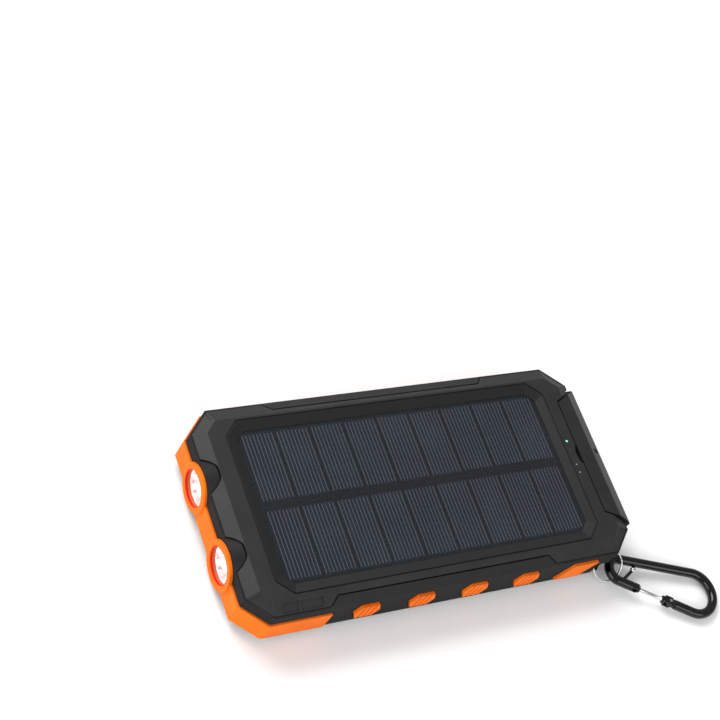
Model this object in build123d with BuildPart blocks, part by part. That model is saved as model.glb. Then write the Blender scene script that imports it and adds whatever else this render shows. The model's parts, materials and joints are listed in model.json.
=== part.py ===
from build123d import *
import math
import os

# Rugged solar power bank: two-shell case with a bumper frame, twin torches, a compass and a port cover.
# Origin: centre of the back rest face. +X runs to the port end, -X to the torch end, +Z to the solar face.

os.makedirs("parts", exist_ok=True)

# Case envelope, millimetres
LENGTH = 150.0
WIDTH = 75.0
HEIGHT = 20.0
CORNER = 8.0
BACK_LINE = 3.5
FRONT_LINE = 17.5
BACK_INSET_X = 5.0
BACK_INSET_Y = 3.75
BACK_CORNER = 6.5
FRONT_INSET = 5.25
FRONT_CORNER = 4.0
FAR = 100.0
SLOP = 1.0
DIAGONAL = math.sqrt(2)

# Walls, as insets from the widest outline
SKIN = 1.6
LINER_INSET = 2.8
WALL_INSET = 4.0
PLATE_INSET = 1.7
FLOOR = 2.0
LINER_LOW = 4.5
LINER_TOP = 16.0
WALL_TOP = 15.0
PLATE_LOW = 16.2

# Seams: the narrow grooves where two outer pieces meet
SEAM = 0.45
SEAM_DEPTH = 0.8

# Black rails of the side frame that wrap over the front bevel
RAIL_LOW_X = -48.0
RAIL_HIGH_X = 42.0
RAIL_INNER_Y = 34.2

# Bumper
BUMPER_TOP = 13.0
BUMPER_ARM_X = -44.6
ARM_OUT = 0.5
PAD_OUT = 0.9
END_PAD_OUT = 0.45
END_PAD_WIDTH = 4.4
END_PAD_INSET = 2.7
PAD_X = (-31.3, -10.4, 10.4, 31.3)
PAD_Z = 10.85
PAD_HALF_LENGTH = 4.7
PAD_HALF_EDGE = 3.1
PAD_HALF_HEIGHT = 4.15
RIB_DEPTH = 0.45
RIB_PITCH = 2.0
RIB_WIDTH = 0.5
RIB_GAPS = (-1, 0, 1)
CORNER_PAD_LOW_X = 45.7
CORNER_PAD_HIGH_X = 59.8
CORNER_PAD_SLANT = 4.2
CORNER_PAD_LOW_Z = 5.4
CORNER_PAD_HIGH_Z = 14.8

# Torches
TORCH_Y = 13.9
TORCH_Z = 10.0
HUMP_RADIUS = 9.6
HUMP_END_X = -70.3
BEZEL_RADIUS = 8.6
BEZEL_BORE = 6.4
BEZEL_OUT = 1.2
BEZEL_EDGE = 0.5
BEZEL_MOUTH_EDGE = 0.15
BEZEL_ROOT_X = -73.0
LENS_RADIUS = 6.9
LENS_FRONT_X = -75.2
LENS_THICKNESS = 1.1
LENS_FIT = 0.02
REFLECTOR_RADIUS = 6.85
REFLECTOR_MOUTH = 6.1
REFLECTOR_FLANGE = 0.8
REFLECTOR_WAIST = 6.3
REFLECTOR_END_X = -63.9
REFLECTOR_THROAT = 1.9
REFLECTOR_NECK = 2.6
REFLECTOR_OUTER = (-67.8, 5.3)
REFLECTOR_INNER = (-68.2, 4.6)
LED_PLATE_X = -63.4
LED_TIP_X = -64.8
LED_BACK_X = -62.0
LED_RADIUS = 1.4
LED_PLATE_RADIUS = 6.95
SLEEVE_RADIUS = 7.7
SLEEVE_BORE = 7.05
TORCH_BORE = 7.8
SLEEVE_END_X = -60.0
TORCH_SIDES = {"right": -TORCH_Y, "left": TORCH_Y}

# Solar window and panel
PANEL_CENTRE_X = -0.85
WINDOW_LENGTH = 118.3
WINDOW_WIDTH = 55.2
WINDOW_CORNER = 3.4
WINDOW_SPLAY = 3.3
PANEL_TOP = 19.0
POCKET_LOW = 17.2
GASKET_THICKNESS = 0.3
BOARD_THICKNESS = 1.0
CELL_THICKNESS = 0.2
CELL_COLUMNS = 9
CELL_ROWS = 2
CELL_GAP = 0.8
CENTRE_BAR = 3.0
PANEL_MARGIN = 1.2
GROOVE_OFFSET = 3.4
GROOVE_WIDTH = 0.5
GROOVE_DEPTH = 0.4
LEAD_HOLE = 1.0

# Hollows in the front bevels
NOTCHES = ((-60.9, 5.4), (-53.3, 8.0))
NOTCH_HEIGHT = 3.2
CORNER_PLATE_LOW = 0.5
CORNER_PLATE_HIGH = 4.2
CORNER_PLATE_BASE = 4.8
CORNER_PLATE_TOP = 2.3
CORNER_PLATE_DEPTH = 0.25

# Indicator holes
INDICATOR_X = 63.8
INDICATOR_Y = 0.2
INDICATOR_PITCH = 3.15
INDICATOR_COUNT = 5
INDICATOR_RADIUS = 0.6
PIPE_MARGIN = 1.0
PIPE_FOOT = 1.4
PIPE_DROP = 0.1
CHIP_HALF_X = 0.8
CHIP_HALF_Y = 0.5
CHIP_HEIGHT = 0.7

# Port bay, fascia and cover
BAY_HALF = 27.7
BAY_X = 70.9
FASCIA_X = 69.3
COVER_HALF = 27.3
COVER_INNER_X = 71.2
COVER_OUTER_X = 77.2
LIP_X = 67.2
LIP_HALF = 22.0
LIP_OUTER_HALF = 26.9
LIP_LOW = 18.4
GAP = 0.3
LIP_GAP = 0.5
AXIS_X = 71.9
AXIS_Z = 3.3
KNUCKLE_RADIUS = 1.9
KNUCKLE_HALF = 22.3
LUG_RADIUS = 2.3
LUG_LOW_Y = 22.7
LUG_ROOT = 1.5
PIN_RADIUS = 0.8
PIN_RUNNING = 0.06
PIN_FIT = 0.01
PIN_HALF = 27.0
COVER_WALL = 1.6
COVER_LOW = 5.9
COVER_HIGH = 17.0
COVER_RIDGE_X = 72.6
COVER_RIDGE_Z = 17.2
COVER_NECK_X = 73.3
COVER_NECK_Z = 4.6
COVER_SKIRT_X = 74.6
COVER_SKIRT_Z = 2.7
SEAL_LOW_X = 73.4
SEAL_LOW_Z = 6.8
SEAL_HIGH_Z = 16.6
PLUG_SLACK = 1.0
FINGER_REACH = 1.3
FINGER_Y = 0.7
FINGER_HALF = 3.9
LATCH_MARK_Y = (0.7, 2.5)
LATCH_MARK_X = 74.2
LATCH_MARK_Z = 17.8

# Sockets on the board
BOARD_LOW = 6.2
BOARD_TOP = 7.4
USB_Y = 15.5
USB_WIDTH = 13.2
USB_HEIGHT = 5.8
USB_DEPTH = 13.4
MICRO_WIDTH = 8.0
MICRO_HEIGHT = 3.0
MICRO_DEPTH = 5.6
SHEET_METAL = 0.4
SOCKET_BACK = 2.2
TONGUE_SETBACK = 0.8
TONGUE_WIDTH_SHARE = 0.38
TONGUE_HEIGHT_SHARE = 0.22
TONGUE_LIFT_SHARE = 0.1
BOARD_LOW_X = 46.0
BOARD_HALF = 33.0
BOARD_CUT_X = 63.9
BOARD_CUT_Y = 27.4

# Compass
COMPASS_X = 59.1
COMPASS_RADIUS = 7.55
CAPSULE_RADIUS = 6.9
CAPSULE_BORE = 6.1
CAPSULE_TOP = 5.0
LENS_LOW = 0.1
BEZEL_LOW = 0.15
BEZEL_TOP = 1.3
BEZEL_CHAMFER = 0.25
DOME_RISE = 0.5
SHELL_STEP = 0.2
DIAL_RADIUS = 5.6
DIAL_LOW = 1.7
DIAL_THICKNESS = 0.5
HUB_RADIUS = 1.0
HUB_DROP = 0.1
PIVOT_RADIUS = 0.4
PIVOT_RUNNING = 0.06

# Back face features
TRAPEZE_DEPTH = 0.8
PANEL_POCKET = 0.9
PANEL_FACE = 0.25
PLAQUE_FACE = 0.05
PLAQUE_CHAMFER = 0.4
SIDE_GROOVE_Y = 30.7
SIDE_GROOVE_X = (-62.1, 59.4)
SIDE_GROOVE_HALF = 0.3

# Screws
SCREW_PLACES = ((65.9, 28.0), (65.9, -28.0), (-65.9, 28.0), (-65.9, -28.0))
BOSS_RADIUS = 2.6
BOSS_SPLIT = 9.5
BOSS_CAP = 1.0
PLUG_RADIUS = 2.5
PLUG_THICKNESS = 0.9
PLUG_FACE = 0.1
HEAD_RADIUS = 2.2
HEAD_LOW = 1.2
HEAD_TOP = 3.0
DRIVE_DEPTH = 0.6
DRIVE_LENGTH = 1.4
DRIVE_HALF = 0.25
SHANK_RADIUS = 1.1
SHANK_FIT = 0.02

# Cells
CELL_PACK_LOW_X = -46.0
CELL_PACK_HIGH_X = 44.0
CELL_PACK_INNER_Y = 0.75
CELL_PACK_OUTER_Y = 32.0
CELL_PACK_LOW = 2.6
CELL_PACK_TOP = 12.8
CELL_EDGE = 2.0
TAPE_MARGIN = 4.0
TAPE_INNER_Y = 3.0
TAPE_OUTER_Y = 30.0
FOAM_MARGIN = 6.0
FOAM_HALF = 28.0

# Power button
BUTTON_LOW_X = 61.2
BUTTON_HIGH_X = 65.8
BUTTON_LOW_Z = 9.2
BUTTON_HIGH_Z = 13.2
BUTTON_OUT = 0.6
BUTTON_GAP = 0.2
BUTTON_EDGE = 0.4
FLANGE = 0.8
FLANGE_ROOM = 1.2
SWITCH_LOW_Y = 31.2
SWITCH_HIGH_Y = 32.3
SWITCH_TIP_Y = 32.9
SWITCH_TIP_RADIUS = 0.8
SWITCH_LOW_X = 60.5
SWITCH_HIGH_X = 63.1

# Corner slot, split ring and carabiner
POST_X = 67.6
POST_Y = -34.6
POST_RADIUS = 1.1
SLOT_RADIUS = 6.85
SLOT_LOW = 3.0
SLOT_TOP = 10.1
ANCHOR_RADIUS = 7.6
ANCHOR_ROOF = 1.0
RING_REACH = 3.02
RING_RADIUS = 5.73
RING_WIRE = 0.5
RING_YAW = -47.2
RING_Z = 5.54
RING_TILT = 34.4
RING_DROOP = 24.0
HOOK_ROD = 1.75
HOOK_NEAR_RADIUS = 4.3
HOOK_FAR_RADIUS = 8.0
HOOK_NEAR_U = 5.4
HOOK_FAR_U = 37.0
HOOK_YAW = -25.0
HOOK_ORIGIN = (69.68, -36.91, 4.76)
HOOK_PITCH = 3.6
GATE_HINGE_U = 26.0
GATE_NOSE_U = 10.5
GATE_ROD = 1.55
RIVET_RADIUS = 0.6
TONGUE_HALF = 0.6
TONGUE_HALF_WIDTH = 1.4
LATCH_LENGTH = 1.5
LATCH_RADIUS = 0.6
ROOT_OVERLAP = 0.5
GATE_SLOT_REACH = 3.0
RIVET_PROUD = 0.05

# Internal leads
LEAD_RADIUS = 0.4
LEAD_CHANNEL_Y = 32.75
LEAD_END_Y = 28.0
TORCH_LEAD_X = (-56.0, -50.0, 44.0, 49.5, 52.0)
BATTERY_LEAD_X = (44.0, 46.0, 48.5, 51.0)
BATTERY_LEAD_Z = 9.8
PANEL_LEAD_X = 50.0
PANEL_LEAD_Y = (-1.2, 1.2)
BATTERY_LEAD_Y = (-8.0, -5.0, 5.0, 8.0)
TORCH_LEAD_BEND = 1.2
BATTERY_LEAD_BEND = 1.0


def octagon(length, width, corner, centre_x=0.0):
    """Corner points of a rectangle with its four corners cut at 45 degrees."""
    half_x = length / 2
    half_y = width / 2
    quarter = [(half_x, half_y - corner), (half_x - corner, half_y)]
    left = [(-x, y) for x, y in reversed(quarter)]
    points = quarter + left + [(-x, -y) for x, y in quarter] + [(x, -y) for x, y in reversed(quarter)]
    return [(x + centre_x, y) for x, y in points]


def inset_outline(inset):
    """The widest outline of the case, moved in by the same amount on every side."""
    return octagon(LENGTH - 2 * inset, WIDTH - 2 * inset, CORNER - inset * (2 - DIAGONAL))


def mirrored(points):
    """A half outline given at +Y, closed by its mirror image at -Y."""
    return list(points) + [(x, -y) for x, y in reversed(points)]


def prism(points, low, high, mode=Mode.ADD):
    """An upright prism on a plan outline."""
    with BuildSketch(Plane.XY.offset(low)) as profile:
        Polygon(*points)
    extrude(profile.sketch, amount=high - low, mode=mode)


def cross_prism(points, half_width, mode=Mode.ADD):
    """A prism across the width on an outline given as x, z points."""
    with BuildSketch(Plane.XZ) as profile:
        Polygon(*points)
    extrude(profile.sketch, amount=half_width, both=True, mode=mode)


def block(low, high, mode=Mode.ADD):
    """A box between two opposite corners."""
    size = [b - a for a, b in zip(low, high)]
    middle = [(a + b) / 2 for a, b in zip(low, high)]
    with Locations(tuple(middle)):
        Box(*size, mode=mode)


def bar_x(radius, start, end, y, z, mode=Mode.ADD):
    """A round bar along X."""
    with Locations(Location((start, y, z), (0, 90, 0))):
        Cylinder(radius, end - start, align=(Align.CENTER, Align.CENTER, Align.MIN), mode=mode)


def bar_y(radius, start, end, x, z, mode=Mode.ADD):
    """A round bar along Y."""
    with Locations(Location((x, start, z), (-90, 0, 0))):
        Cylinder(radius, end - start, align=(Align.CENTER, Align.CENTER, Align.MIN), mode=mode)


def bar_z(radius, low, high, x, y, mode=Mode.ADD):
    """A round bar along Z."""
    with Locations((x, y, low)):
        Cylinder(radius, high - low, align=(Align.CENTER, Align.CENTER, Align.MIN), mode=mode)


def save(name, piece):
    """Label a finished piece and write it to its own file."""
    piece.part.label = name
    export_step(piece.part, f"parts/{name}.step")


# ---------------------------------------------------------------- case envelope
with BuildPart() as envelope:
    with BuildSketch(Plane.XY):
        Polygon(*octagon(LENGTH - 2 * BACK_INSET_X, WIDTH - 2 * BACK_INSET_Y, BACK_CORNER))
    with BuildSketch(Plane.XY.offset(BACK_LINE)):
        Polygon(*inset_outline(0))
    loft(ruled=True)
    prism(inset_outline(0), BACK_LINE, FRONT_LINE)
    with BuildSketch(Plane.XY.offset(FRONT_LINE)):
        Polygon(*inset_outline(0))
    with BuildSketch(Plane.XY.offset(HEIGHT)):
        Polygon(*octagon(LENGTH - 2 * FRONT_INSET, WIDTH - 2 * FRONT_INSET, FRONT_CORNER))
    loft(ruled=True)


def seam_ring(level):
    """A shallow groove all round the case, upwards from the level of a parting line."""
    with BuildPart() as ring:
        prism(inset_outline(-SLOP), level, level + SEAM)
        prism(inset_outline(SEAM_DEPTH), level, level + SEAM, mode=Mode.SUBTRACT)
    return ring.part


def slab(low, high):
    """The stretch of the case envelope between two heights."""
    with BuildPart() as stretch:
        add(envelope.part)
        block((-FAR, -FAR, low), (FAR, FAR, high), mode=Mode.INTERSECT)
    return stretch.part


def hump(low, high):
    """The two torch humps that break through the bevels, between two heights."""
    with BuildPart() as humps:
        for y in TORCH_SIDES.values():
            bar_x(HUMP_RADIUS, -LENGTH / 2, HUMP_END_X, y, TORCH_Z)
        block((-FAR, -FAR, low), (FAR, FAR, high), mode=Mode.INTERSECT)
    return humps.part


def button_pocket(inner_y, outer_y):
    """Room behind the skin for the button's flange."""
    block(
        (BUTTON_LOW_X - FLANGE_ROOM, inner_y, BUTTON_LOW_Z - FLANGE_ROOM),
        (BUTTON_HIGH_X + FLANGE_ROOM, outer_y, WALL_TOP + SLOP),
        mode=Mode.SUBTRACT,
    )


def torch_bores(mode=Mode.SUBTRACT):
    """Room for the torch sleeves and bezels."""
    for y in TORCH_SIDES.values():
        bar_x(TORCH_BORE, -LENGTH / 2, SLEEVE_END_X, y, TORCH_Z, mode=mode)
        bar_x(BEZEL_RADIUS, -LENGTH / 2, BEZEL_ROOT_X, y, TORCH_Z, mode=mode)


ring_direction = Vector(math.cos(math.radians(RING_YAW)), math.sin(math.radians(RING_YAW)), 0)
ring_centre = Vector(POST_X, POST_Y, RING_Z) + ring_direction * RING_REACH
lateral = Vector(0, 0, 1).cross(ring_direction)
upward = Vector(0, 0, 1)
tilt = math.radians(RING_TILT)
droop = math.radians(RING_DROOP)
ring_side = lateral * math.cos(tilt) + upward * math.sin(tilt)
ring_lift = upward * math.cos(tilt) - lateral * math.sin(tilt)
ring_out = ring_direction * math.cos(droop) - ring_lift * math.sin(droop)
ring_normal = ring_out.cross(ring_side)
hook_yaw = math.radians(HOOK_YAW)
hook_pitch = math.radians(HOOK_PITCH)
hook_level = Vector(math.cos(hook_yaw), math.sin(hook_yaw), 0)
hook_across = upward.cross(hook_level)
hook_along = hook_level * math.cos(hook_pitch) - upward * math.sin(hook_pitch)
hook_plane = Plane(origin=HOOK_ORIGIN, x_dir=hook_along, z_dir=hook_along.cross(hook_across))
lip_half_outline = [(LIP_X, LIP_HALF), (COVER_OUTER_X, LIP_OUTER_HALF)]
lip_gap_outline = [(LIP_X - LIP_GAP, LIP_HALF + LIP_GAP), (COVER_OUTER_X, LIP_OUTER_HALF + 2 * LIP_GAP)]
trapeze_outline = [(72.0, 25.6), (49.2, 16.2), (48.3, 15.3)]
centre_grip_outline = [(41.8, 8.8), (36.2, 14.5), (-38.9, 14.5), (-44.8, 9.0)]
side_grip_outline = [
    (51.1, 26.7),
    (51.1, 25.3),
    (37.2, 18.5),
    (-41.0, 18.5),
    (-53.7, 23.3),
    (-53.7, 25.8),
    (-41.0, 26.7),
]
plaque_outline = [(-51.2, 15.3), (-63.9, 20.8), (-69.0, 18.4)]


def rails(mode, gap=0.0):
    """The two strips of the side frame that lie on the long front bevels, or the room for them."""
    outer_y = WIDTH / 2 + SLOP
    inner_y = RAIL_INNER_Y - gap
    low_x = RAIL_LOW_X - gap * DIAGONAL
    high_x = RAIL_HIGH_X + gap * DIAGONAL
    run = outer_y - inner_y
    outline = [(low_x, outer_y), (high_x, outer_y), (high_x - run, inner_y), (low_x + run, inner_y)]
    for side in (1, -1):
        prism([(x, side * y) for x, y in outline], FRONT_LINE, HEIGHT, mode=mode)


def corner_slot(mode=Mode.SUBTRACT):
    """The slot in the case corner where the split ring turns round its post."""
    bar_z(SLOT_RADIUS, SLOT_LOW, SLOT_TOP, ring_centre.X, ring_centre.Y, mode=mode)


with BuildPart() as anchor_blank:
    bar_z(ANCHOR_RADIUS, FLOOR, SLOT_TOP + ANCHOR_ROOF, ring_centre.X, ring_centre.Y)
    prism(inset_outline(SKIN), FLOOR, HEIGHT, mode=Mode.INTERSECT)


def pad_outline(centre_x, gap):
    """Six-sided side pad, as x, z points, widened by a gap all round."""
    half_length = PAD_HALF_LENGTH + gap
    half_edge = PAD_HALF_EDGE + gap / 2
    half_height = PAD_HALF_HEIGHT + gap
    return [
        (centre_x - half_length, PAD_Z),
        (centre_x - half_edge, PAD_Z - half_height),
        (centre_x + half_edge, PAD_Z - half_height),
        (centre_x + half_length, PAD_Z),
        (centre_x + half_edge, PAD_Z + half_height),
        (centre_x - half_edge, PAD_Z + half_height),
    ]


def corner_pad_outline(gap):
    """The slanted pad near the port end, as x, z points, widened by a gap all round."""
    lean = CORNER_PAD_SLANT / (CORNER_PAD_HIGH_Z - CORNER_PAD_LOW_Z)
    wide = gap * (math.hypot(1, lean) + lean)
    narrow = gap * (math.hypot(1, lean) - lean)
    return [
        (CORNER_PAD_LOW_X - wide, CORNER_PAD_LOW_Z - gap),
        (CORNER_PAD_HIGH_X - CORNER_PAD_SLANT + narrow, CORNER_PAD_LOW_Z - gap),
        (CORNER_PAD_HIGH_X + wide, CORNER_PAD_HIGH_Z + gap),
        (CORNER_PAD_LOW_X + CORNER_PAD_SLANT - narrow, CORNER_PAD_HIGH_Z + gap),
    ]


def side_pads(inner_y, outer_y, gap=0.0, mode=Mode.ADD):
    """All side pads as prisms across both long walls."""
    for outline in [pad_outline(x, gap) for x in PAD_X] + [corner_pad_outline(gap)]:
        for side in (1, -1):
            with BuildSketch(Plane.XZ.offset(-side * inner_y)) as profile:
                Polygon(*outline)
            extrude(profile.sketch, amount=-side * (outer_y - inner_y), mode=mode)


def end_pads(outer, gap=0.0, mode=Mode.ADD):
    """The pads on the two chamfered corners at the port end, standing proud by the given amount."""
    for side in (1, -1):
        normal = Vector(1, side, 0).normalized()
        along = Vector(side, -1, 0).normalized()
        middle_y = side * (WIDTH / 2 - CORNER + END_PAD_INSET)
        middle = Vector(LENGTH / 2 - END_PAD_INSET, middle_y, PAD_Z)
        plane = Plane(origin=middle - normal * SKIN, x_dir=along, z_dir=normal)
        with BuildSketch(plane) as profile:
            Rectangle(END_PAD_WIDTH + 2 * gap, 2 * (PAD_HALF_HEIGHT + gap))
        extrude(profile.sketch, amount=SKIN + outer, mode=mode)


# ---------------------------------------------------------------- back shell
with BuildPart() as lugs:
    for side in (1, -1):
        low_y = min(side * LUG_LOW_Y, side * BAY_HALF)
        block((BAY_X - LUG_ROOT, low_y, 0), (AXIS_X, low_y + BAY_HALF - LUG_LOW_Y, AXIS_Z + LUG_RADIUS))
        bar_y(LUG_RADIUS, low_y, low_y + BAY_HALF - LUG_LOW_Y, AXIS_X, AXIS_Z)
    add(envelope.part, mode=Mode.INTERSECT)

with BuildPart() as back_shell:
    add(slab(0, BACK_LINE))
    prism(inset_outline(LINER_INSET), BACK_LINE, WALL_TOP)
    prism(inset_outline(WALL_INSET), FLOOR, WALL_TOP, mode=Mode.SUBTRACT)
    add(hump(BACK_LINE, HEIGHT), mode=Mode.SUBTRACT)
    add(hump(0, BACK_LINE))
    torch_bores()
    block((BAY_X, -BAY_HALF, -SLOP), (FAR, BAY_HALF, HEIGHT), mode=Mode.SUBTRACT)
    block((FASCIA_X, -BAY_HALF, FLOOR), (FAR, BAY_HALF, HEIGHT), mode=Mode.SUBTRACT)
    add(lugs.part)
    bar_y(LUG_RADIUS, -LUG_LOW_Y, LUG_LOW_Y, AXIS_X, AXIS_Z, mode=Mode.SUBTRACT)
    bar_y(PIN_RADIUS, -PIN_HALF, PIN_HALF, AXIS_X, AXIS_Z, mode=Mode.SUBTRACT)
    for x, y in SCREW_PLACES:
        bar_z(BOSS_RADIUS, FLOOR / 2, BOSS_SPLIT, x, y)
        bar_z(SHANK_RADIUS, 0, BOSS_SPLIT, x, y, mode=Mode.SUBTRACT)
        bar_z(PLUG_RADIUS, 0, PLUG_THICKNESS, x, y, mode=Mode.SUBTRACT)
        bar_z(HEAD_RADIUS, 0, HEAD_TOP, x, y, mode=Mode.SUBTRACT)
    prism(mirrored(trapeze_outline), 0, TRAPEZE_DEPTH, mode=Mode.SUBTRACT)
    prism(mirrored(centre_grip_outline), 0, PANEL_POCKET, mode=Mode.SUBTRACT)
    prism(mirrored(plaque_outline), 0, PANEL_POCKET, mode=Mode.SUBTRACT)
    for side in (1, -1):
        prism([(x, side * y) for x, y in side_grip_outline], 0, PANEL_POCKET, mode=Mode.SUBTRACT)
        groove_y = side * SIDE_GROOVE_Y
        block(
            (SIDE_GROOVE_X[0], groove_y - SIDE_GROOVE_HALF, -SLOP),
            (SIDE_GROOVE_X[1], groove_y + SIDE_GROOVE_HALF, GROOVE_DEPTH),
            mode=Mode.SUBTRACT,
        )
    bar_z(COMPASS_RADIUS, 0, FLOOR, COMPASS_X, 0, mode=Mode.SUBTRACT)
    add(anchor_blank.part, mode=Mode.SUBTRACT)
    corner_slot()
    button_pocket(WIDTH / 2 - WALL_INSET - SLOP, WIDTH / 2)
save("back_shell", back_shell)

# ---------------------------------------------------------------- side frame
with BuildPart() as rail_strips:
    add(slab(FRONT_LINE, HEIGHT))
    with BuildPart(mode=Mode.PRIVATE) as rail_blanks:
        rails(Mode.ADD)
    add(rail_blanks.part, mode=Mode.INTERSECT)

with BuildPart() as torch_end_seam:
    prism(inset_outline(-SLOP), BACK_LINE, BUMPER_TOP + SEAM)
    prism(inset_outline(SEAM_DEPTH), BACK_LINE, BUMPER_TOP + SEAM, mode=Mode.SUBTRACT)
    block((-FAR, -FAR, BACK_LINE), (BUMPER_ARM_X + SEAM, FAR, BUMPER_TOP + SEAM), mode=Mode.INTERSECT)

with BuildPart() as side_frame:
    prism(inset_outline(0), BACK_LINE, FRONT_LINE)
    prism(inset_outline(SKIN), BACK_LINE, FRONT_LINE, mode=Mode.SUBTRACT)
    block((-FAR, -FAR, BACK_LINE), (BUMPER_ARM_X, FAR, BUMPER_TOP), mode=Mode.SUBTRACT)
    add(rail_strips.part)
    add(hump(BUMPER_TOP, HEIGHT))
    torch_bores()
    block((FASCIA_X, -BAY_HALF, 0), (FAR, BAY_HALF, FRONT_LINE), mode=Mode.SUBTRACT)
    side_pads(WIDTH / 2 - SKIN, WIDTH / 2, gap=SEAM, mode=Mode.SUBTRACT)
    end_pads(SLOP, gap=SEAM, mode=Mode.SUBTRACT)
    add(seam_ring(BACK_LINE), mode=Mode.SUBTRACT)
    add(torch_end_seam.part, mode=Mode.SUBTRACT)
    corner_slot()
    block(
        (BUTTON_LOW_X - BUTTON_GAP, WIDTH / 2 - SKIN - SLOP, BUTTON_LOW_Z - BUTTON_GAP),
        (BUTTON_HIGH_X + BUTTON_GAP, WIDTH / 2 + SLOP, BUTTON_HIGH_Z + BUTTON_GAP),
        mode=Mode.SUBTRACT,
    )
save("side_frame", side_frame)

# ---------------------------------------------------------------- bumper frame
with BuildPart() as arms:
    prism(inset_outline(-ARM_OUT), BACK_LINE, BUMPER_TOP)
    prism(inset_outline(SKIN), BACK_LINE, BUMPER_TOP, mode=Mode.SUBTRACT)
    block((-FAR, -FAR, BACK_LINE), (BUMPER_ARM_X, FAR, BUMPER_TOP), mode=Mode.INTERSECT)


def bezel(y):
    """The rounded ring that frames one torch mouth."""
    outer_x = -LENGTH / 2 - BEZEL_OUT
    with BuildPart() as ring:
        with BuildSketch(Plane(origin=(0, y, TORCH_Z), x_dir=(1, 0, 0), z_dir=(0, -1, 0))) as profile:
            with Locations(((outer_x + BEZEL_ROOT_X) / 2, (BEZEL_BORE + BEZEL_RADIUS) / 2)):
                Rectangle(BEZEL_ROOT_X - outer_x, BEZEL_RADIUS - BEZEL_BORE)
            front = profile.vertices().group_by(Axis.X)[0]
            fillet(front.sort_by(Axis.Z)[-1], BEZEL_EDGE)
            fillet(profile.vertices().group_by(Axis.X)[0].sort_by(Axis.Z)[0], BEZEL_MOUTH_EDGE)
        revolve(axis=Axis((0, y, TORCH_Z), (1, 0, 0)))
    return ring.part


with BuildPart() as bumper_frame:
    prism(inset_outline(SKIN), LINER_LOW, LINER_TOP)
    prism(inset_outline(LINER_INSET), LINER_LOW, LINER_TOP, mode=Mode.SUBTRACT)
    add(arms.part)
    side_pads(WIDTH / 2 - SKIN, WIDTH / 2 + PAD_OUT)
    end_pads(END_PAD_OUT)
    for rib_gap in RIB_GAPS:
        for x in PAD_X:
            for side in (1, -1):
                near = side * (WIDTH / 2 + PAD_OUT - RIB_DEPTH)
                far = side * (WIDTH / 2 + 2 * PAD_OUT)
                low_y, high_y = sorted((near, far))
                low_x = x + rib_gap * RIB_PITCH - RIB_WIDTH / 2
                block((low_x, low_y, 0), (low_x + RIB_WIDTH, high_y, HEIGHT), mode=Mode.SUBTRACT)
    for y in TORCH_SIDES.values():
        bar_x(BEZEL_RADIUS, -LENGTH / 2 - BEZEL_OUT, BEZEL_ROOT_X, y, TORCH_Z, mode=Mode.SUBTRACT)
        add(hump(BUMPER_TOP, HEIGHT), mode=Mode.SUBTRACT)
        bar_x(TORCH_BORE, -LENGTH / 2, SLEEVE_END_X, y, TORCH_Z, mode=Mode.SUBTRACT)
        add(bezel(y))
        bar_x(LENS_RADIUS, LENS_FRONT_X, BEZEL_ROOT_X, y, TORCH_Z, mode=Mode.SUBTRACT)
    block((FASCIA_X, -BAY_HALF, 0), (FAR, BAY_HALF, FRONT_LINE), mode=Mode.SUBTRACT)
    add(anchor_blank.part, mode=Mode.SUBTRACT)
    corner_slot()
    button_pocket(WIDTH / 2 - WALL_INSET, WIDTH / 2 - SKIN)
save("bumper_frame", bumper_frame)

# ---------------------------------------------------------------- front shell


def window_outline(spread=0.0):
    """The outline of the solar window, moved outwards by the same amount on every side."""
    return octagon(
        WINDOW_LENGTH + 2 * spread,
        WINDOW_WIDTH + 2 * spread,
        WINDOW_CORNER + spread / 2,
        PANEL_CENTRE_X,
    )


with BuildPart() as window_splay:
    with BuildSketch(Plane.XY.offset(PANEL_TOP)):
        Polygon(*window_outline())
    with BuildSketch(Plane.XY.offset(HEIGHT)):
        Polygon(*window_outline(WINDOW_SPLAY))
    loft(ruled=True)

bevel_angle = math.atan2(HEIGHT - FRONT_LINE, FRONT_INSET)
first_indicator_y = INDICATOR_Y - (INDICATOR_COUNT - 1) / 2 * INDICATOR_PITCH
indicator_places = [
    (INDICATOR_X, first_indicator_y + step * INDICATOR_PITCH) for step in range(INDICATOR_COUNT)
]
finger_radius = (FINGER_HALF ** 2 + FINGER_REACH ** 2) / (2 * FINGER_REACH)
finger_x = LIP_X - LIP_GAP - FINGER_REACH + finger_radius


def corner_bevel(side_x, side_y):
    """The sloping plane of one front corner, its origin midway along the corner's lower edge."""
    low = Vector(side_x * (LENGTH - CORNER) / 2, side_y * (WIDTH - CORNER) / 2, FRONT_LINE)
    top_x = side_x * (LENGTH - 2 * FRONT_INSET - FRONT_CORNER) / 2
    top_y = side_y * (WIDTH - 2 * FRONT_INSET - FRONT_CORNER) / 2
    slope = (Vector(top_x, top_y, HEIGHT) - low).normalized()
    along = Vector(side_x, -side_y, 0).normalized()
    normal = along.cross(slope)
    if normal.Z < 0:
        along = -along
        normal = -normal
    return Plane(origin=low, x_dir=along, z_dir=normal)


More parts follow.
